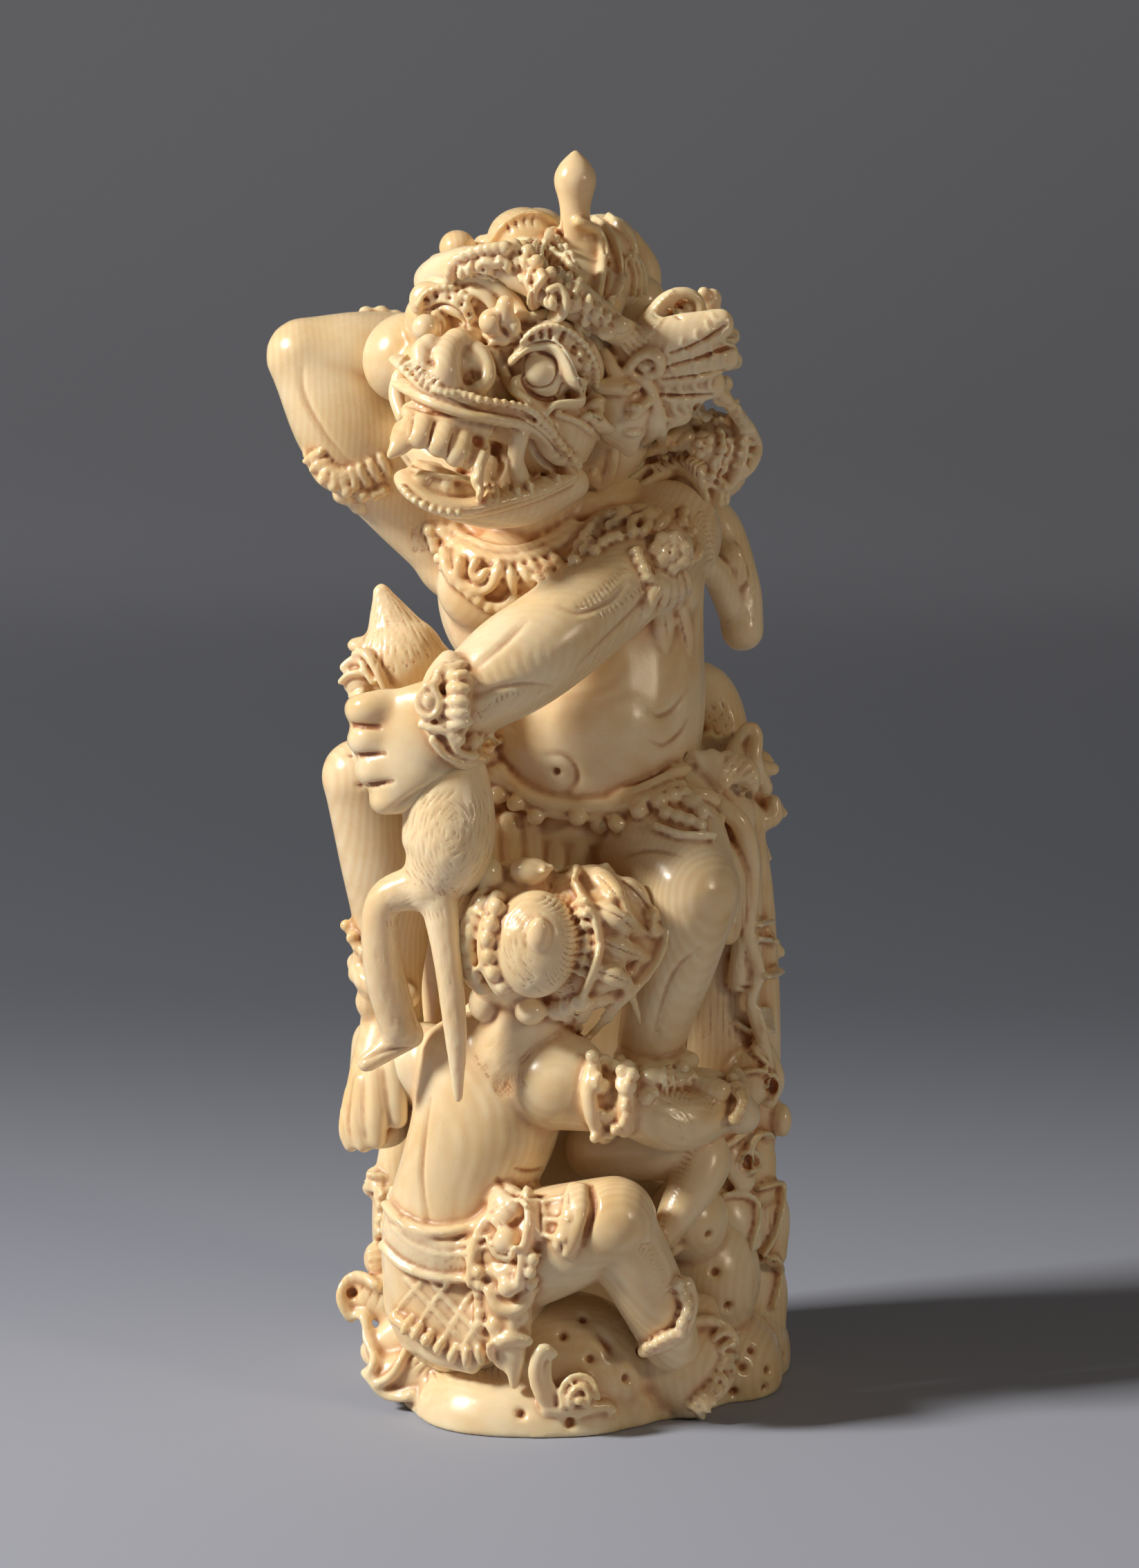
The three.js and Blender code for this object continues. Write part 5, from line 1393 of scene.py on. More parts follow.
# The monkey in the giant's grip: a pointed crest of hair over a blunt muzzle, and its fur combed with
# short strokes of a small chisel. The tail hangs free down the prince's back.
monkey = fused(
    "gripped_monkey",
    [
        limb([[-19.5, -23, 99, 6.2], [-17, -26, 91, 6.4], [-17, -27.5, 83.5, 6.4], [-19, -28, 79, 4.4]]),
        ball([-23.5, -17, 108.5], [6.4, 6.4, 6.8]),
        limb([[-22.5, -16, 107, 7], [-24.5, -16.5, 113, 4.2], [-26.3, -16.5, 118.5, 1.3]]),
        ball([-29, -19, 106.5], [2.8, 3.0, 3.0]),
        ball([-29.4, -18, 111.2], [1.8, 2, 1.2]),
        # The tail.
        limb([[-18.5, -29, 80, 3], [-17, -30.5, 70, 2.1], [-15.8, -30.5, 58, 1.6], [-15.5, -30, 49, 0.7]]),
        # The left leg and foot.
        limb([[-19, -28, 79, 3.6], [-25.8, -27, 76.4, 2.6], [-26, -25.5, 67, 2.9], [-24, -23.5, 58, 2.8]]),
        limb([[-22.5, -23, 57, 2.4, 2], [-28.5, -24, 52.8, 1.4, 1.4]]),
    ],
    grain=0.45,
    rounds=5,
)
front = Front(monkey)
monkey = dressed(
    monkey,
    [
        # The ear, the lips and the brow.
        front.roll([(-30, 107.3), (-28.8, 107.5), (-27.6, 105.9), (-26.2, 102.9)], 0.7, 1.0, 0.9),
        front.roll([(-30, 107.1), (-29.4, 105.3), (-27.9, 103.6)], 0.5, 0.8, 0.7),
        front.roll([(-32.2, 105.3), (-31.2, 106.3), (-30, 106.5)], 0.7, 0.8, 0.5),
        front.roll([(-32.6, 103.6), (-31.4, 104.6), (-29.4, 104.6)], 0.5, 0.7, 0.5),
        front.roll([(-32.6, 102.1), (-31.4, 101.7), (-30, 102.1)], 0.6, 0.8, 0.5),
        front.stud(-31.4, 109.9, [0.9, 0.9, 0.9], 0.4),
    ],
    grain=0.28,
)
engraved(monkey, [
    # Hair fans down from the crest.
    (strands([(-27.2, 117.6), (-27.6, 113.1), (-28.6, 108.6)], 2.4, 4.0, 0.55, 1, 1.6), 0.36, 0.17),
    (strands([(-26.8, 117.1), (-23.9, 112.1), (-21.4, 106.6)], 2.4, 4.0, 0.6, 2, 1.6), 0.36, 0.17),
    (strands([(-26.8, 117.1), (-25.9, 111.6), (-24.9, 105.6)], 1.8, 4.0, 0.6, 3, 1.6), 0.36, 0.17),
    # The back's fur turns about a whorl.
    (strands([(-13.4, 89.1), (-12.4, 84.1), (-13.4, 78.1), (-16.9, 73.1)], 1.6, 3.4, 0.6, 4), 0.34, 0.14),
    (strands([(-22.4, 83.1), (-23.4, 79.1), (-20.9, 74.6)], 1.4, 3.0, 0.6, 5), 0.34, 0.14),
    (strands([(-16.4, 88.1), (-19.9, 84.1), (-20.4, 78.1), (-17.4, 73.1)], 2.4, 3.4, 0.6, 6), 0.34, 0.14),
    (strands([(-18.4, 86.1), (-15.6, 84.1), (-15.2, 80.6), (-17.4, 79.1)], 1.4, 3.0, 0.6, 7), 0.34, 0.14),
    # The thigh, the shin and the tail.
    (strands([(-17.4, 73.1), (-22.4, 73.1), (-26.4, 71.1)], 1.6, 3.4, 0.6, 8), 0.34, 0.08),
    (strands([(-26.2, 69.1), (-25.2, 62.1), (-23.4, 54.1)], 2.2, 4.4, 0.6, 9), 0.34, 0.09),
    (ticks([(-26.4, 68.3), (-22.4, 68.9), (-18.4, 69.9)], 14, 0.9, 0.2), 0.36, 0.16),
    (strands([(-18.8, 70.1), (-17.9, 60.1), (-16.4, 46.1)], 0.8, 4.0, 0.5, 10), 0.34, 0.08),
    ([[(-30.2, 48.5), (-26.4, 50.1), (-21.4, 50.7)]], 0.6, 0.3),
])
finished(monkey, faces=80000)


# The monkey prince, who kneels with his back to the viewer: a crown seen from behind, with a knot of
# hair, knobs and rows of beads, and a peak of engraved leaves to the right; a bare back, a patterned
# hip cloth and a sash tied behind, all undercut with knife and gouge so that they stand clear.
PRINCE_HEAD = (
    Matrix.Translation((-6.2, -25, 71.5))
    @ Matrix.Rotation(math.radians(-8), 4, "X")
    @ Matrix.Rotation(math.radians(3), 4, "Y")
)
prince = fused(
    "kneeling_prince",
    [
        *placed(
            [
                ball([-1, 1, 0], [9, 8, 10.5]),
                ball([1.6, -7, -1], [6.0, 4.4, 7.6]),
                leaf([0, -1, 0], [19.5, 1, 0], [0, -1, 0], 10.4, 5, 1),
                leaf([9, -4, 6], [13.5, -6, 0], [0, -1, 0], 4),
                leaf([9, -4, -6], [13.5, -6, -1], [0, -1, 0], 4),
            ],
            PRINCE_HEAD,
        ),
        limb([[-5, -22, 61, 5.5], [-8, -20, 54, 7]]),
        limb(
            [
                [-10.5, -18, 52, 11, 7], [-12, -19, 43, 10.6, 8.5], [-14.5, -18, 35, 10, 8.5],
                [-15.5, -16, 26, 11.5, 10], [-14, -15, 17, 13, 12],
            ],
        ),
        ball([-1.5, -23, 50], [7.5, 7, 7]),
        # The right arm, and the left behind it.
        limb([[0, -23.5, 49, 6], [8, -25, 47.5, 4.8], [15, -24.5, 44.5, 4.4], [21.5, -20, 45.5, 3.6]]),
        limb([[12, -18, 47, 4.4], [20.5, -17.5, 46.5, 3.8], [24.5, -14, 43, 3]]),
        limb([[-21, -13, 50, 6.5], [-27, -6, 46, 4.6], [-28, 2, 50, 4]]),
        # The right thigh and shin, and the left knee beyond.
        limb([[-9, -20, 24, 8.8], [-1, -26, 28, 7.8], [6, -29.5, 31.5, 6.4]]),
        limb([[6, -29, 31, 6], [11, -27, 21, 5.2], [14.5, -23.5, 12, 4.2]]),
        limb(
            [
                [4, -13, 38, 5], [13, -16, 38.5, 4.6], [19, -17.5, 37.5, 4.2], [15.5, -21.5, 31, 3],
                [12, -24, 26, 1.4],
            ],
        ),
    ],
    grain=0.5,
    rounds=6,
)
front = Front(prince)
crown_knobs = [
    front.stud(-11.4, 75.1, [2.3, 2.2, 2.5], 0.5),
    front.stud(-5.9, 75.4, [2.9, 2.2, 1.9], 0.6),
    front.stud(-1.8, 76.4, [1.7, 2, 2.0], 0.6),
    front.stud(-13.8, 74.3, [1.2, 1.6, 1.8], 0.4),
    front.stud(-11.2, 56.9, [2.3, 2.3, 2.8], 0.5),
    front.stud(-5.6, 56.4, [2.3, 2.2, 2.0], 0.6),
    front.stud(-2.1, 56.3, [1.7, 2, 1.9], 0.5),
    front.stud(-13.8, 56.3, [1.8, 2, 1.9], 0.4),
    front.roll([(-12.4, 72.1), (-14.2, 68.6), (-14.9, 65.1), (-14, 61.6), (-12.2, 59.6)], 1.1, 1.3, 0.5),
    front.roll([(-10.2, 72.1), (-11.4, 68.6), (-11.8, 65.6), (-11.2, 62.6), (-9.6, 59.6)], 1.0, 1.5, 0.6),
    front.stud(-4.4, 67.1, [1.5, 1.1, 2.4], 0.3),
    # Edges of the leaves that make the peak.
    front.roll([(0.8, 74.3), (3.2, 70.9), (4.4, 66.7), (3.8, 61.9), (1.4, 57.1)], 0.6, 1.2, 0.8),
    *[front.frond(a, b, w, 1.2, lift=0.3) for a, b, w in [
        ((3.8, 76.3), (8.1, 70.9), 1.7), ((7.4, 75.3), (12, 70.3), 1.5), ((4.4, 71.1), (10.8, 67.1), 1.6),
        ((4.8, 66.1), (11.4, 63.3), 1.5), ((4, 61.9), (9.4, 59.7), 1.5), ((2.2, 58.1), (6.2, 57.5), 1.2),
    ]],
    front.roll(
        [
            (3.6, 77.5), (8.1, 75.1), (11.6, 72.1), (13.3, 68.1), (12.9, 64.9), (10.4, 61.3), (6.4, 57.5),
            (2.6, 54.5),
        ],
        0.55, 1.1, 0.6,
    ),
    front.stud(11.6, 69.6, [1.1, 1.4, 1.3], 0.6),
]
arms = [
    front.roll([(3.2, 47.6), (2.8, 44.1), (3.8, 40.1), (5.6, 38.1)], 1.2, 1.4, 0.5),
    front.roll([(8.1, 47.3), (8.1, 43.1), (8.1, 39.1)], 1.2, 1.4, 0.4),
    front.roll([(23.4, 46.1), (24.4, 43.6), (23.6, 40.6)], 1.2, 1.4, 0.6),
    front.roll([(11.6, 45.9), (16.6, 45.3), (21.6, 44.1)], 1.6, 1.6, 0.3),
    front.roll([(16.1, 16.4), (16.8, 13.7), (16.1, 10.7)], 1.2, 1.3, 0.6),
    front.roll([(16.1, 9.7), (13.6, 8.2), (11.1, 7.2)], 1.0, 1.2, 0.5),
]
hip_cloth = [
    front.roll([(-25.9, 27.9), (-23.6, 25.4), (-19.4, 24.2), (-14.4, 25), (-10.2, 27.3)], 0.7, 1.0, 0.7),
    front.roll([(-26.4, 22.2), (-23.6, 19.2), (-18.4, 17.4), (-13.2, 17.7), (-10.2, 19)], 0.7, 1.0, 0.7),
    front.roll([(-25.8, 25.2), (-22.4, 22), (-17.4, 20.7), (-10.9, 22.2)], 2.6, 1.0, 0.2),
    front.roll([(-24.9, 11.7), (-20.4, 8.7), (-15.4, 5.7), (-10.9, 6.7)], 1.0, 1.2, 0.4),
    limb([[-25, -12, 18, 6, 2], [-20, -22, 15, 6, 2], [-13, -26.5, 13.5, 5.5, 2]], UP),
]
sash = [
    limb([[-8.6, -27, 33, 3, 3], [-8.8, -28, 22, 3.6, 3], [-8.4, -27.5, 12, 3, 3]]),
    ball(seen((-9.2, 22.7), -31.4), [1.9, 1.7, 1.9]),
    front.roll([(-10.8, 25.2), (-12.4, 22.7), (-13.2, 19.2), (-13.4, 17.2)], 0.9, 1.4, 0.9),
    front.roll([(-5.2, 28.6), (-4.8, 25.2), (-5.8, 21.2), (-6.6, 17.2)], 0.8, 1.6, 0.8),
    ball(seen((-8.9, 16), -32), [1.5, 1.5, 1.6]),
    drawn_limb(
        [
            (-7.2, 18.7, -30, 1.0), (-5.8, 15.7, -31, 1.1), (-7.2, 13, -31.4, 1.1), (-10.2, 13, -31, 1.0),
            (-11.6, 15.4, -30.5, 0.9),
        ],
    ),
    drawn_limb([(-10.2, 18, -31, 0.9), (-8.4, 18.6, -31.4, 0.9), (-7.2, 17.2, -31.4, 0.8)]),
    # The drop at its end, like a trumpet flower.
    drawn_limb([(-11, 7.7, -30.5, 0.9), (-8.6, 8.6, -31.2, 1.0), (-6, 8.2, -30.5, 0.9)]),
    drawn_limb([(-8.6, 7.7, -29.5, 2.4, 1.8), (-8, 5.2, -29.5, 1.6, 1.4), (-8, 1.8, -28.5, 0.7, 0.8)]),
    ball(seen((-10.8, 10.4), -30), [1.3, 1.2, 1.5]),
    ball(seen((-8.2, 10.8), -30.4), [1.1, 1.2, 1.7]),
    ball(seen((-6.6, 12), -30), [0.9, 1.1, 1.3]),
]
thigh = [
    front.roll([(-4.1, 28.1), (-3.8, 25.7), (-4, 23.2)], 0.6, 0.8, 0.5),
    front.roll([(0.8, 29.9), (0.2, 26.2), (-1.2, 22.2)], 1.3, 1.1, 0.4),
    front.roll([(1.8, 29.9), (1.6, 25.7), (-0.2, 21.2)], 1.1, 1.0, 0.4),
]
prince = dressed(prince, [*crown_knobs, *arms, *hip_cloth, *sash, *thigh], grain=0.4, rounds=2)

front = Front(prince)
prince_finery = [
    # Beads and lobes of the crown.
    *front.beads([(-12.4, 71.1), (-14.2, 68.1), (-15, 64.9), (-13.8, 61.3)], 6, [1.1, 1.0, 1.5], 0.4),
    *front.beads(
        [(-10.8, 70.9), (-11.8, 67.9), (-12.1, 65.3), (-11.2, 62.1), (-9.8, 59.7)],
        6, [1.15, 1.2, 1.3], 0.5,
    ),
    *front.beads(
        [(-8.9, 78.5), (-6.4, 78.9), (-3.9, 78.9), (-0.9, 78.9), (0.8, 77.9)],
        8, [1.0, 1.0, 1.1], 0.5,
    ),
    *front.bars([(-4.4, 77.5), (-1.9, 78.1), (1.4, 76.3)], 6, 1.4, 0.6, lift=0.8),
    *front.bars([(-1.2, 55.9), (0.8, 56.1), (2.8, 55.9)], 5, 1.5, 0.6, 0.3, lift=0.8),
    *front.bars([(1.4, 71.6), (2.2, 68.6), (2.4, 65.1), (1.8, 62.1)], 7, 0.9, 0.7, 0.4, lift=0.9),
    *front.bars([(-13.4, 70.3), (-15.2, 66.1), (-13.6, 60.9)], 12, 1.0, 0.4, lift=0.9),
    front.roll([(12, 68.7), (13.2, 68.1), (12.6, 66.7), (11.4, 67.3)], 0.5, 0.8, 0.6),
    # The bracelet above the elbow: curls.
    *front.scroll(4.6, 45.3, 1.4, 0.65, 1.1, 2.0),
    *front.scroll(8.4, 45.1, 1.6, 0.7, 1.1, 1.0),
    *front.scroll(11.2, 43.5, 1.3, 0.6, 1.1, 0.4),
    *front.scroll(5.8, 40.9, 1.4, 0.6, 1.1, 3.0),
    *front.beads([(3.4, 48.9), (5.4, 48.1), (7.4, 47.1), (8.8, 46.5)], 5, [1.0, 1.0, 1.0], 0.5),
    *front.beads([(8.1, 42.1), (8.1, 40.3), (6.6, 38.5), (3.8, 37.9)], 6, [0.8, 0.9, 0.8], 0.5),
    *front.bars([(13.1, 45.9), (15.1, 46.3), (16.8, 47.3)], 5, 1.4, 0.6, 0.3, lift=0.8),
    *front.beads([(23.8, 45.9), (24.6, 44.1), (25, 42.3), (24, 40.3)], 6, [0.9, 1.0, 0.9], 0.5),
    *front.beads([(15.6, 16.4), (16.8, 14.7), (17.2, 12.7), (16.4, 10.7)], 5, [0.9, 1.0, 1.0], 0.5),
    *front.beads([(16.1, 9.4), (14.1, 8.4), (11.6, 7.2)], 5, [0.9, 0.9, 0.9], 0.5),
    # The sash.
    *front.beads([(-13.2, 18.2), (-12.7, 15.7), (-12.6, 13.2), (-13, 10.7)], 6, [0.85, 1.0, 0.95], 0.6),
    *front.beads([(-5.8, 20.2), (-6.2, 18.4), (-5.8, 16.6)], 3, [0.9, 1.0, 1.0], 0.7),
    *front.bars([(-10.6, 25.4), (-8.6, 27.1), (-6.6, 28.3)], 6, 0.9, 0.55, lift=0.9),
    front.roll([(-11.2, 23.2), (-10.8, 21), (-9, 20.2), (-7.2, 21.6)], 0.45, 0.8, 0.7),
    *front.bars([(-28.4, 31.6), (-29, 28.1), (-29.2, 24.7)], 7, 0.8, 0.8, lift=0.4),
    # Cross pieces woven into the band, and petals of the hem.
    *front.bars([(-24.9, 24.4), (-21.4, 21.7), (-17.4, 20.7), (-13.4, 21.4)], 22, 2.1, 0.24, lift=0.2),
    front.roll([(-25.6, 24.6), (-22.2, 21.8), (-17.4, 20.6), (-11.2, 22)], 0.24, 0.3, 0.4),
    front.roll([(-25.2, 26), (-21.8, 23.2), (-17.4, 22), (-11, 23.6)], 0.24, 0.3, 0.4),
    *front.bars([(-23.4, 10.4), (-19.9, 8.4), (-15.4, 6), (-11.2, 6.7)], 8, 0.9, 0.7, lift=0.5),
    *[front.roll(path, 0.26, 0.3, 0.3) for path in [
        [(-23.6, 17.2), (-19.9, 13.2), (-16.4, 9.2)],
        [(-21.4, 16.7), (-25.4, 12.2)],
        [(-19.9, 16.7), (-15.9, 12.2), (-12.4, 8.7)],
        [(-17.6, 16.6), (-22.4, 9.7)],
        [(-13.4, 16.2), (-18.4, 8.2)],
        [(-12.4, 12.2), (-15.4, 7.2)],
    ]],
    *front.bars([(-2.4, 28.6), (-1.8, 25.7), (-2.4, 23.2)], 3, 1.6, 0.35, lift=0.5),
]
prince = dressed(prince, prince_finery, grain=0.34)
engraved(prince, [
    # Hair combed over the knot and round the bud.
    (strands([(-4.9, 72.1), (-8.2, 69.1), (-8.6, 64.1), (-5.4, 60.1)], 1.2, 4.5, 0.55, 11), 0.36, 0.16),
    (strands([(-4.4, 70.3), (-6.8, 67.1), (-6, 62.9)], 0.6, 4.0, 0.5, 12), 0.34, 0.14),
    (strands([(-5.4, 60.6), (-2.4, 58.6), (0.6, 59.1)], 1.2, 3.4, 0.5, 13), 0.36, 0.16),
    (
        ticks([(-3.2, 72.5), (-0.4, 69.9), (0.4, 66.1), (-0.6, 62.1), (-2.8, 59.9)], 20, 1.7, -0.4), 0.4,
        0.26,
    ),
    # Veins of the peak's leaves.
    ([
        [(4.2, 75.5), (6.1, 73.6), (7.8, 71.3)], [(7.8, 74.7), (9.8, 72.9), (11.6, 70.7)],
        [(4.8, 70.7), (7.6, 69.3), (10.4, 67.3)],
        [(5.2, 65.7), (8.1, 64.5), (10.8, 63.5)], [(4.4, 61.5), (6.6, 60.7), (8.8, 59.9)],
    ], 0.4, 0.35),
    (
        [
            [(8.1, 68.6), (9, 68.1), (9.6, 67.3)], [(6.4, 72.1), (7.4, 71.6), (7.8, 70.9)],
            [(9.6, 62.9), (9, 62.1), (8.2, 61.7)],
        ],
        1.1, 0.8,
    ),
    # The spine, the shoulder blade and the fold under the arm.
    ([[(-20.2, 43.1), (-21, 38.1), (-21.4, 32.1), (-20.6, 25.7)]], 0.9, 0.4),
    (
        [
            [(-10.4, 31.6), (-8.9, 29.9), (-6.6, 29.1), (-3.6, 29.3)],
            [(-7.9, 33.1), (-5.9, 32.6), (-3.4, 33.1)],
        ],
        0.8, 0.45,
    ),
    (strands([(-6.4, 52.1), (-9.4, 49.1), (-12.4, 47.1)], 2.6, 3.6, 0.6, 14), 0.36, 0.1),
    (ticks([(-10.8, 44.6), (-8.9, 45.3), (-6.9, 45.9)], 9, 1.4, 0.4), 0.42, 0.2),
    (strands([(11.6, 42.1), (15.1, 40.9), (17.6, 38.1)], 1.2, 3.4, 0.6, 15), 0.36, 0.12),
    (ticks([(13.1, 44.9), (17.6, 43.1), (20.6, 42.1)], 14, 0.9, 0.4), 0.38, 0.2),
    # The calf and the knees.
    (ticks([(10.6, 22.2), (12.8, 18.7), (14.1, 15.2)], 14, 1.4, 0.6), 0.36, 0.14),
    (ticks([(17.6, 36.1), (15.1, 30.1), (13.1, 25.2)], 18, 0.8, 0.3), 0.38, 0.16),
    ([[(3.1, 30.6), (3.6, 27.6), (2.8, 24.7), (2.2, 22.2)]], 0.9, 0.6),
    ([[(-0.4, 30.1), (-0.2, 27.6)], [(-4.2, 28.9), (-4, 23.2)], [(-1.2, 22.2), (-1.2, 20.7)]], 0.6, 0.4),
])
finished(prince, faces=170000)


# The rocks underfoot, pitted like coral, with a snail and a curled leaf at the front, a leaf with a
# rope-like rim at the right, and the flying tails of cloth at the left. The underside is sawn flat.
TUSK_RADIUS = 30
rock = fused(
    "rocks",
    [
        ball([2, 2, 0], [TUSK_RADIUS - 4, TUSK_RADIUS - 3, 14]),
        limb([[-18, -14, 0, 6, 7], [-12, -21, 0, 8, 8], [0, -22, 0, 8, 9], [7, -20, 0, 6, 7]], DEPTH),
        ball([0, -18, 6], [12, 10, 12]),
        ball([22.5, -4, 3], [9, 10, 9]),
        ball([25, 6, 2], [8, 11, 10]),
        ball([20, -6, 17], [8, 8, 10]),
        ball([17, -11, 27], [6, 6, 6]),
        limb([[14.5, -17, 15, 7, 2.4], [16, -20, 8.5, 7.4, 2.6], [18, -20.5, 2, 3, 2]]),
        # Tails of cloth.
        limb([[-19, -10, 14, 4.4, 2.6], [-26, -9, 14.5, 4, 2.4], [-31.2, -7, 14, 2.6, 2]], UP),
        limb([[-18, -12, 10, 5, 3], [-24, -11.5, 8.5, 4.4, 2.6], [-28.5, -11, 7, 2.4, 2]], UP),
        limb([[-14, -15, 8, 4.4, 2.6], [-22, -15.5, 5, 3.8, 2.4], [-27.2, -14, 4.6, 2.6, 2]], UP),
        limb([[-23, -1, 40, 4, 4], [-25.5, -2.5, 27, 3.4, 4], [-25, -3, 12, 3.4, 4]]),
    ],
    grain=0.55,
    rounds=5,
)
sawn_flat(rock)
front = Front(rock)
growth = [
    # The hooked leaf and the snail.
    drawn_limb(
        [
            (-2.4, 6.4, -30, 0.9), (-4, 7, -30.5, 1.0), (-5, 3.7, -30.5, 1.1), (-3.8, 0, -30, 1.1),
            (-1.8, -1.4, -29, 0.9),
        ],
    ),
    drawn_limb([(-3.2, 5.4, -29.6, 0.7), (-3.2, 2.7, -30, 0.8), (-2, 0, -29.6, 0.8)]),
    ball(seen((1.2, 1), -28.6), [2.5, 2.2, 2.6]),
    front.roll([(-3.4, -1.8), (0.6, -2.2), (4.8, -1.2), (6, -2)], 0.7, 1.0, 0.4),
    # The leaf's rope rim.
    front.roll(
        [
            (13.6, 8.4), (16.1, 10.2), (19.6, 11), (22.2, 9.7), (23.2, 6.4), (22.1, 3.2), (20.4, 0.4),
            (18.6, -1.4),
        ],
        0.85, 1.3, 0.6,
    ),
    ball(seen((14.4, 22.2), -16), [1.9, 1.9, 2.0]),
    # Rims of the tails of cloth.
    front.roll([(-27.6, 16), (-29.4, 17), (-31.6, 16.4), (-32.4, 14.2), (-31.2, 12.2)], 0.8, 1.2, 0.6),
    front.roll([(-31.2, 12.2), (-29.4, 9.2), (-27.9, 5.7), (-28.4, 3.2)], 0.7, 1.1, 0.5),
    front.roll([(-27.9, 2.2), (-25.4, 3.2), (-23.4, 6.2), (-22.4, 8.7)], 0.7, 1.1, 0.5),
    front.roll([(-28.9, 3.7), (-26.4, 1), (-22.4, 0.4)], 0.8, 1.1, 0.5),
    # Bead strip and shells of the left edge.
    *front.beads([(-27.9, 32.1), (-28.6, 29.1), (-28.9, 26.2), (-28.8, 23.2)], 6, [1.3, 1.5, 1.3], 0.3),
    front.stud(-27.6, 20.2, [1.8, 1.8, 2.6], 0.3),
]
rock = dressed(rock, growth, grain=0.42, rounds=2)
front = Front(rock)
rock = dressed(
    rock,
    [
        front.roll([(-0.9, -1), (-0.6, 1.4), (1, 2.8), (2.8, 2.2), (3.4, 0.2)], 0.5, 0.8, 0.7),
        front.roll([(0.2, -1.2), (0.4, 0.8), (1.6, 1.7), (2.6, 0.6), (2.2, -0.8)], 0.45, 0.7, 0.8),
        front.stud(1.4, -0.2, [0.7, 0.8, 0.7], 0.8),
        *front.bars(
            [(21.6, 9.7), (23.2, 6.4), (22.1, 3.2), (20.4, 0.4), (18.8, -1.4)],
            9, 1.0, 0.6, 0.6, lift=0.8,
        ),
        *front.bars([(-27.9, 32.1), (-28.6, 28.1), (-28.8, 23.2)], 9, 1.1, 0.5, lift=0.6),
        *front.bars([(-27.9, 21.2), (-27.2, 18.4)], 4, 1.2, 0.5, lift=0.6),
    ],
    grain=0.36,
)
pits = [
    (-7.2, -2.1), (-0.1, -3.5), (2.9, 5.9), (-1.2, 9.2), (1.8, 11.7), (8.1, 3), (26.2, 7.2), (25, 4.6),
    (28.6, 4.2), (28.2, 1.5),
    (23.6, 1), (20.1, 23.7), (20.9, 18.4), (30.6, 6.7), (22.8, 13.4), (10.1, 7), (-31.6, 15.4),
]
engraved(rock, [
    ([[p, (p[0] + 0.2, p[1] - 0.2), (p[0] + 0.4, p[1] - 0.5)] for p in pits], 1.15, 1.0),
    ([[(4.2, 9.2), (5.6, 7.7), (6.2, 6.4)], [(12.6, 22.7), (14.4, 20.7), (16.1, 22.2)]], 1.4, 1.0),
    ([[(-20.4, -3.8), (-18.4, -4.6), (-12.4, -5.8)]], 0.5, 0.1),
    (ticks([(-18.4, 3.7), (-13.4, 3.7), (-10.4, 3.7)], 7, 1.8, 0.5), 0.5, 0.12),
    (ticks([(-22.4, 6.2), (-20.4, 3.7), (-18.4, 4.7)], 7, 1.4, 0.2), 0.45, 0.2),
    (ticks([(-30.4, 15.2), (-28.4, 14.2), (-26.4, 13.7)], 4, 1.2), 0.4, 0.15),
    (ticks([(27.6, 12.2), (29.6, 14.2), (30.6, 16.2)], 5, 1.2), 0.4, 0.15),
])
finished(rock, faces=90000)


# The right flank: the pleated train of the giant's loincloth, tied at the hip in a flower of cloth,
# with its curled edge cut into small leaves and tubes down the side.
train = fused(
    "train_of_cloth",
    [
        limb([[19, -5, 86, 5, 4], [21, -2, 70, 6, 5], [21, -2, 50, 7, 6], [20, -2, 38, 7, 6]]),
        limb([[25, 0, 84, 3, 3], [26, 1, 70, 4, 3], [26.5, 2, 46, 4.5, 4], [25, 3, 20, 4, 5]]),
        limb(
            [
                [22, -3, 88, 2, 2], [25.5, -4.5, 80, 2, 2], [26, -4.5, 66, 1.9, 2], [25.5, -4, 52, 1.8, 2],
                [27, -3, 44, 1.6, 2],
            ],
        ),
        limb(
            [[10, -14, 84.5, 4, 2], [19, -15, 82, 5, 2.2], [23, -13, 76, 5, 2.2], [22.5, -13, 69, 3, 1.6]],
            [0.4, 1, 0],
        ),
        leaf([16, -11, 91], [24.5, -6, 88.5], [0, -1, 0.4], 4.2, 2),
        leaf([22, -5, 90], [27, 3, 96.5], [1, -1, 0], 3, 2),
        leaf([20, -8, 88], [25, -5, 80], [0.6, -1, 0], 4.5, 2.4),
        ball([24, 4, 88], [4, 4, 4]),
    ],
    grain=0.5,
    rounds=5,
)
front = Front(train)
skirt_leaves = [
    ([21, -3, 41], [25.5, -7, 31], 3.8),
    ([24, 0, 40], [28.5, -2, 28], 4.2),
    ([21, -3, 32], [26.5, -7, 22], 4.0),
    ([27, 2, 31], [30.4, 0, 18], 4.0),
    ([26, 4, 20], [30.4, 3, 6], 4.4),
]
edge_leaves = [90, 84, 77, 70, 63, 56.5, 50, 43, 37]
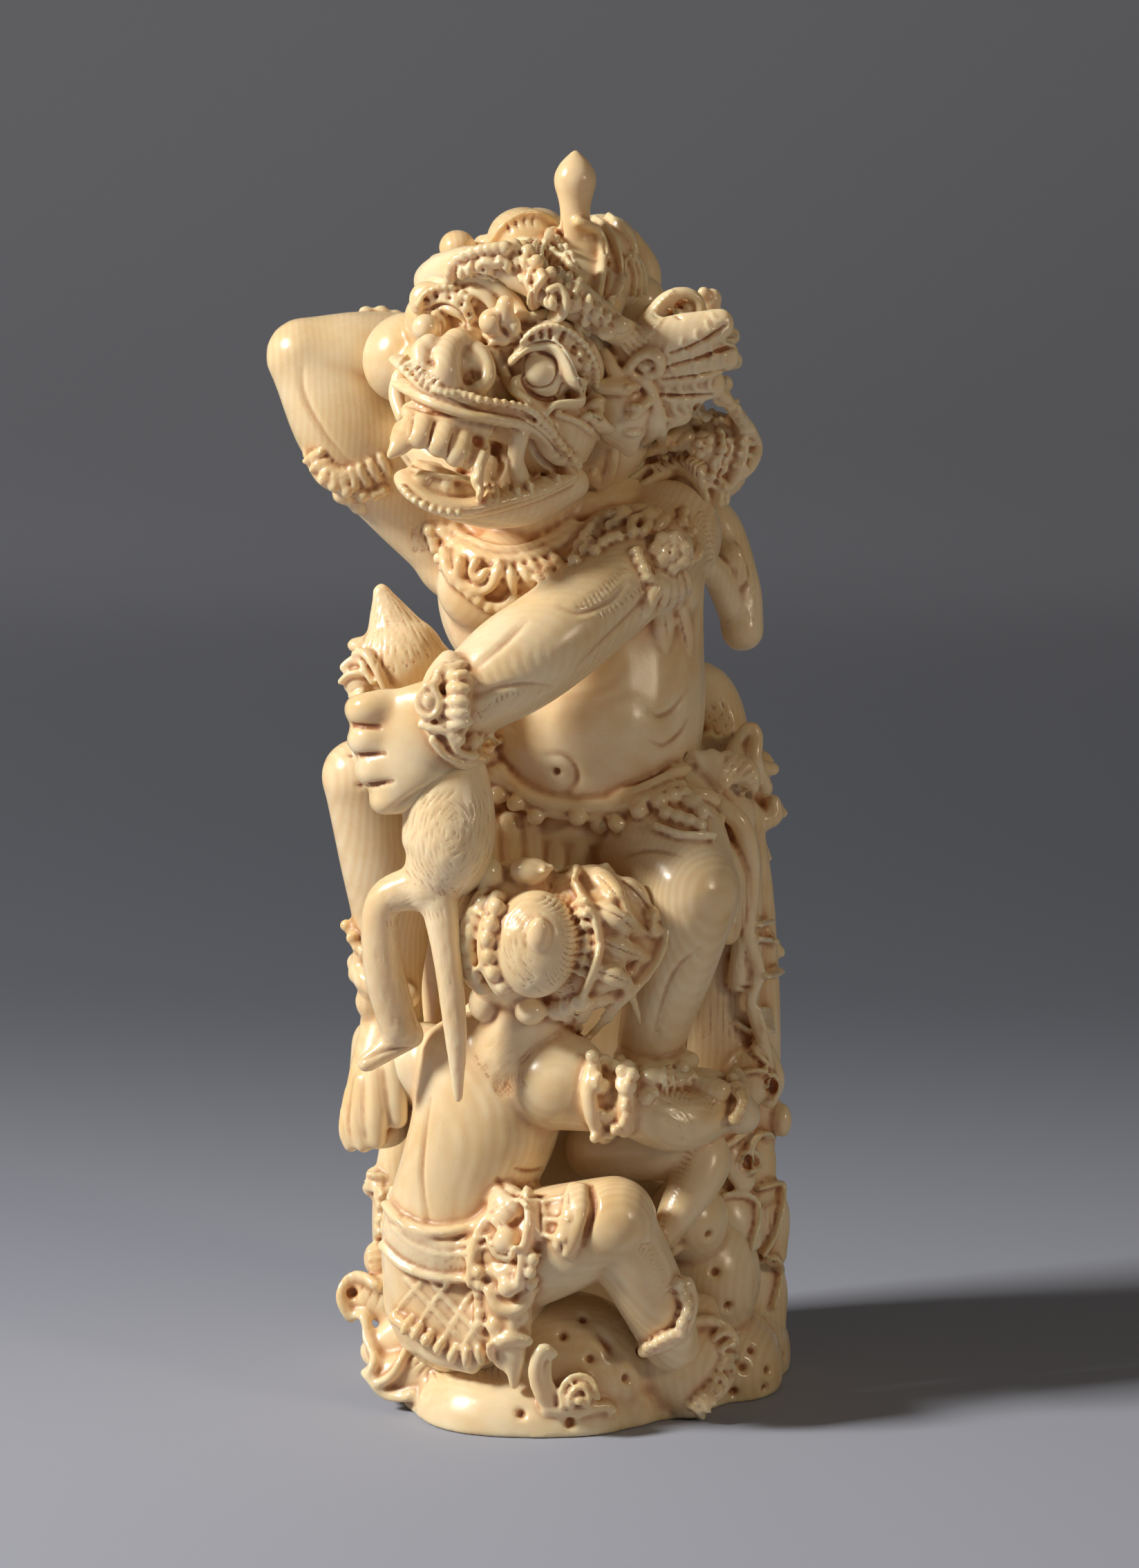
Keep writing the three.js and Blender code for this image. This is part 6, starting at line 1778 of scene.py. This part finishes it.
flowers = [
    *[
        leaf([25, 5, z + 1], [30.2 + 1.4 * math.sin(i * 1.9), 4 - (i % 2) * 2, z], [0.4, -1, 0.3], 2.5, 1.6)
        for i, z in enumerate(edge_leaves)
    ],
    *[leaf(root, tip, [0.8, -1, 0.2], width, 2.2, 0.6, 0.5) for root, tip, width in skirt_leaves],
    # The hip flower: two flaps and a hooked tip.
    drawn_limb([(16.6, 90.9, -10, 1.3), (19.6, 92.3, -11, 2.2, 1.2), (22.4, 88.9, -12, 1.2)]),
    drawn_limb([(22.4, 92.1, -10, 1.8, 1.2), (25.4, 90.3, -10.5, 2.2, 1.2), (26.8, 88.1, -10, 0.8)]),
    drawn_limb(
        [
            (23.6, 93.9, -3, 1.0), (25.8, 96.9, -3, 1.0), (27, 95.7, -3, 1.1), (26.8, 92.1, -4, 1.2),
            (28.4, 88.1, -2, 1.2),
        ],
    ),
    drawn_limb([(27.8, 90.9, 0, 1.3), (29.4, 90.9, 1, 1.1)]),
    drawn_limb([(26.8, 83.1, 0, 1.5), (29.4, 84.1, 1, 1.5), (29.6, 86.3, 1, 1.0)]),
    # The long roll of the train's edge.
    drawn_limb(
        [
            (22.1, 85.3, -12, 1.5), (24.8, 82.9, -12, 1.5), (26.2, 78.1, -11.5, 1.4),
            (26.4, 72.1, -11, 1.1), (25.8, 67.1, -10, 1.0), (27.4, 61.7, -9, 1.0), (26.2, 57.1, -9, 0.9),
            (27.8, 52.1, -8, 1.1), (28.6, 48.1, -7, 1.1),
        ],
    ),
    drawn_limb(
        [(23.6, 82.1, -10, 1.2), (24.8, 76.1, -10, 1.4), (25, 68.1, -9, 1.5), (24.4, 60.1, -8, 1.6)],
    ),
    # The cloth over the knee, with its figured border.
    drawn_limb(
        [
            (13.6, 81.6, -19, 0.8), (18.6, 80.5, -20, 0.9), (22.1, 77.6, -19.5, 0.9),
            (23.8, 73.1, -18.5, 0.9), (23.6, 68.9, -17.5, 0.8),
        ],
    ),
    drawn_limb([(16.1, 78.9, -19, 1.4, 0.8), (20.6, 75.9, -19, 1.9, 0.8), (22.2, 70.1, -17.5, 1.8, 0.8)]),
    # Tubes of cloth lower down.
    drawn_limb([(28.4, 50.1, -4, 1.4), (29.4, 46.1, -5, 1.8), (28.8, 43.1, -5, 1.4)]),
    ball(seen((30.8, 40.1), 0), [1.4, 2, 2.6]),
    ball(seen((25.6, 46.1), -7), [3.4, 3, 4.6]),
]
train = dressed(train, flowers, grain=0.42, rounds=2)
front = Front(train)
train = dressed(
    train,
    [
        # Rims and openings of the tubes.
        *[front.roll(path, 0.4, 0.8, 0.7) for path in [
            [(28.2, 45.1), (28.8, 47.1), (30, 45.3), (29.4, 43.5)],
            [(24.6, 34.1), (25.2, 35.6), (26.8, 35.1), (26.8, 33.1), (25.6, 32.7)],
            [(22.2, 29.1), (24.6, 29.3), (26.6, 28.1), (26.8, 25.2), (26, 21.6)],
            [(27.2, 30.5), (30, 30.9), (30.4, 28.1), (29.6, 24.2), (28.2, 21)],
            [(21.6, 35.9), (23.6, 36.9), (24.8, 38.1)],
            [(27, 20), (29.8, 20.4), (30, 17.2), (29.2, 13.2)],
            [(27.4, 38.1), (29.8, 36.6), (31, 34.1)],
            [(28.8, 67.1), (29.4, 65.5), (30.6, 66.5)],
            [(22.6, 46.1), (26.1, 47.3), (28, 47.1)],
            [(24.2, 54.1), (26.6, 52.1), (28.2, 48.1)],
            [(27.6, 68.6), (29.1, 69.1), (30.4, 67.6)],
            [(28.4, 61.6), (30, 62.1), (30.4, 60.3)],
        ]],
        *front.bars([(23.1, 91.7), (25.1, 90.1), (26.1, 88.1)], 6, 1.6, 0.3, lift=0.6),
        *front.beads([(18.6, 79.9), (20.6, 78.7), (21.8, 77.1)], 5, [0.7, 0.7, 0.7], 0.5),
        *front.bars([(17.6, 79.6), (21.1, 76.6), (22.8, 70.1)], 12, 1.4, 0.3, lift=0.6),
        *front.bars([(29.4, 56.1), (29.8, 53.1)], 4, 1.2, 0.5, lift=0.6),
    ],
    grain=0.36,
)
engraved(train, [
    (strands([(21.6, 65.1), (21.6, 58.1), (21.6, 52.1)], 3.0, 8, 0.9, 21), 0.4, 0.14),
    (strands([(24.6, 80.1), (25, 72.1), (24.6, 62.1)], 0.8, 8, 0.8, 22), 0.4, 0.14),
    (strands([(24.1, 36.1), (23.8, 32.1)], 1.6, 3, 0.8, 23), 0.4, 0.14),
    (strands([(28.8, 29.1), (28.4, 23.2)], 1.2, 3, 0.8, 24), 0.4, 0.14),
    (
        [
            [(25.4, 34.9), (25.8, 34.1), (26, 33.7)], [(29, 46.1), (29.2, 45.1), (29.2, 44.6)],
            [(29.4, 66.9), (29.6, 66.3), (29.6, 65.9)],
        ],
        1.2, 1.0,
    ),
    ([[(22.6, 59.6), (25.1, 59.3), (26.6, 59.5)]], 0.6, 0.3),
])
finished(train, faces=110000)


# The back, which the photographed view hides, finished plainer: a cloak in long flutes, locks of hair
# and a monkey that climbs the giant's back, with the giant's raised hand on its nape.
back = fused(
    "cloak_and_climbing_monkey",
    [
        limb(
            [
                [1, 8, 2, 26, 18], [1, 7, 30, 26, 17], [1, 5, 60, 25, 15], [2, 4, 84, 20, 13],
                [2, 4, 98, 14, 9],
            ],
        ),
        *[
            limb(
                [
                    [x, 20 - 0.016 * x * x, 10, 4, 3.4], [x * 0.98, 22 - 0.018 * x * x, 40, 4, 3.4],
                    [x * 0.9, 18 - 0.016 * x * x, 72, 3.6, 3.2], [x * 0.8, 12 - 0.01 * x * x, 95, 3, 2.6],
                ],
            )
            for x in (-20, -12, -4, 4, 12, 20)
        ],
        limb(
            [
                [-19, 5, 88, 3, 3], [-12, 14, 90, 3.4, 3], [2, 16.5, 90, 3.4, 3], [15, 13, 91, 3.4, 3],
                [20, 6, 90, 3, 3],
            ],
            UP,
        ),
        # Hair from under the crown.
        *[
            limb(
                [
                    [x * 1.1, 4 - 0.02 * x * x, 158, 4, 4], [x * 1.15, 8 - 0.03 * x * x, 148, 4, 4],
                    [x * 1.05 + 1, 10 - 0.03 * x * x, 136, 3.4, 4], [x + 2, 9 - 0.03 * x * x, 126, 2, 3],
                ],
            )
            for x in (-9, -3, 3, 9)
        ],
        # The climbing monkey.
        limb([[6, 14, 97, 6.6], [7, 15.5, 108, 8], [5, 15, 120, 7], [1, 14, 130, 5.4]]),
        ball([0, 12.5, 139], [7.5, 7.5, 7]),
        ball([-1, 18.5, 137.5], [3.6, 3.6, 3]),
        ball([-7.2, 14, 141], [2, 1.6, 2.6]),
        ball([7.2, 14, 141], [2, 1.6, 2.6]),
        limb([[11, 14, 122, 4.4], [20, 11, 126, 3.8], [24.5, 10, 117, 3.2], [25.2, 9, 110, 3.2]]),
        limb([[24, 9, 112, 2.2], [21.5, 5, 118, 2.2], [19, 1, 121, 2.2]]),
        *[
            limb([seen((x, z), 7, 0.8), seen((x + 1.6, z - 1.6), 5.6, 0.9), seen((x + 2.6, z - 5), 6, 0.8)])
            for x, z in ((21.2, 122.1), (21.8, 123.1), (22.6, 123.6))
        ],
        limb([[-1, 16, 126, 4.2], [-9, 14, 128, 3.6], [-14, 9, 126, 3.2]]),
        limb([[10, 13, 97, 5], [19, 10, 101, 4.4], [22.5, 7, 94, 3.6], [18, 2, 92, 2.8]]),
        limb([[2, 15, 97, 5], [-7, 16, 100, 4.2], [-10, 14, 91, 3.2], [-13, 12, 88, 2.6]]),
        limb([[7, 17, 96, 2.8], [10, 19.5, 86, 2.2], [6, 22, 74, 2], [9, 22.5, 63, 1.6]]),
        # The giant's right hand.
        limb([[-15, 9, 150, 5, 4], [-9, 12.5, 150, 6.4, 3.4]], UP),
        *[
            limb([[-9, 13.5, z + 0.5, 2], [-5, 17, z - 0.5, 2], [0, 18, z - 2, 1.6]], UP)
            for z in (145, 148.5, 152, 155)
        ],
        ball([-2, 11, 149], [7, 7, 7]),
    ],
    grain=0.5,
    rounds=4,
)
sawn_flat(back)
engraved(back, [
    (strands([(25.4, 122.1), (26.6, 117.1), (26.4, 112.1)], 0.8, 2.6, 0.6, 30), 0.4, 0.14),
    (strands([(20.6, 101.1), (22.1, 97.1), (22.6, 94.1)], 1.2, 2, 0.6, 31), 0.42, 0.24),
])
finished(back, faces=70000)


# The floor it stands on, pale in front, which runs back into a backdrop; the darker and lighter greys behind
# are painted shade and light for the lamps' fall-off.
FLOOR_PALE = "#a0a5b4"
FLOOR_PAINTED_SHADE = "#5f646f"
BACKDROP = "#868993"
DIM_FROM, DIM_TO, RISE_TO = -0.05, 0.3, 1.3 # metres behind the carving
sweep_rows = [(-1.2, 0), (0.5, 0), (0.9, 0.06), (1.2, 0.26), (1.34, 0.6), (1.38, 1.0), (1.4, 2.2)]
rows = smooth_line(sweep_rows, 60)
rows[:, 1] = np.maximum(rows[:, 1], 0)
ground = bpy.data.meshes.new("floor")
ground.from_pydata(
    [(x, y, z) for y, z in rows for x in (-3, 3)],
    [],
    [(2 * i, 2 * i + 1, 2 * i + 3, 2 * i + 2) for i in range(len(rows) - 1)],
)
floor = bpy.data.objects.new("floor", ground)
bpy.context.scene.collection.objects.link(floor)
ground.shade_smooth()
matt = bpy.data.materials.new("matt_paper")
matt.use_nodes = True
tree = matt.node_tree
paper = tree.nodes["Principled BSDF"]
paper.inputs["Roughness"].default_value = 0.9
parts = node(tree, "SeparateXYZ", [(node(tree, "TexCoord").outputs["Object"], 0)])
tone = node(tree, "RGB")
tone.outputs[0].default_value = linear(FLOOR_PALE)
# Painted shade and light: the paper is darker behind the carving and lighter again up the backdrop, standing
# in for how the lamps' light falls off over it.
for start, end, shade in ((DIM_FROM, DIM_TO, FLOOR_PAINTED_SHADE), (DIM_TO, RISE_TO, BACKDROP)):
    fade = node(
        tree, "MapRange", [(parts.outputs["Y"], "Value")], interpolation_type="SMOOTHSTEP",
        in_From_Min=start, in_From_Max=end,
    )
    tone = node(
        tree, "MixRGB", [(fade.outputs[0], "Fac"), (tone.outputs[0], "Color1")], in_Color2=linear(shade),
    )
tree.links.new(tone.outputs[0], paper.inputs["Base Color"])
ground.materials.append(matt)

# Soft light from a lamp at the upper left, and a weaker one at the right that draws the far edges.


def lamp(name, place, size, power, colour, towards=(0, 0, 0.09)):
    """A square soft lamp that faces a point."""
    light = bpy.data.lights.new(name, "AREA")
    light.size = size
    light.energy = power
    light.color = linear(colour)[:3]
    made = bpy.data.objects.new(name, light)
    made.location = place
    made.rotation_euler = (Vector(towards) - Vector(place)).to_track_quat("-Z", "Y").to_euler()
    bpy.context.scene.collection.objects.link(made)
    return made


lamp("key", (-0.90, -0.32, 0.74), 0.20, 17.5, "#fffaf2")
lamp("side", (0.75, -0.62, 0.40), 0.15, 1.6, "#ffeacc")
world = bpy.data.worlds.new("studio")
world.use_nodes = True
world.node_tree.nodes["Background"].inputs[0].default_value = linear("#b2aca4")
world.node_tree.nodes["Background"].inputs[1].default_value = 0.15
bpy.context.scene.world = world
bpy.context.scene.view_settings.view_transform = "Standard"

LENS = 103.25
PICTURE_HEIGHT = 36
eye = bpy.data.cameras.new("camera")
eye.lens = LENS
eye.sensor_fit = "VERTICAL"
eye.sensor_height = PICTURE_HEIGHT
camera = bpy.data.objects.new("camera", eye)
camera.location = Vector(EYE * MM)
camera.rotation_euler = (math.pi / 2 - EYE_RISE, 0, 0)
bpy.context.scene.collection.objects.link(camera)
bpy.context.scene.camera = camera
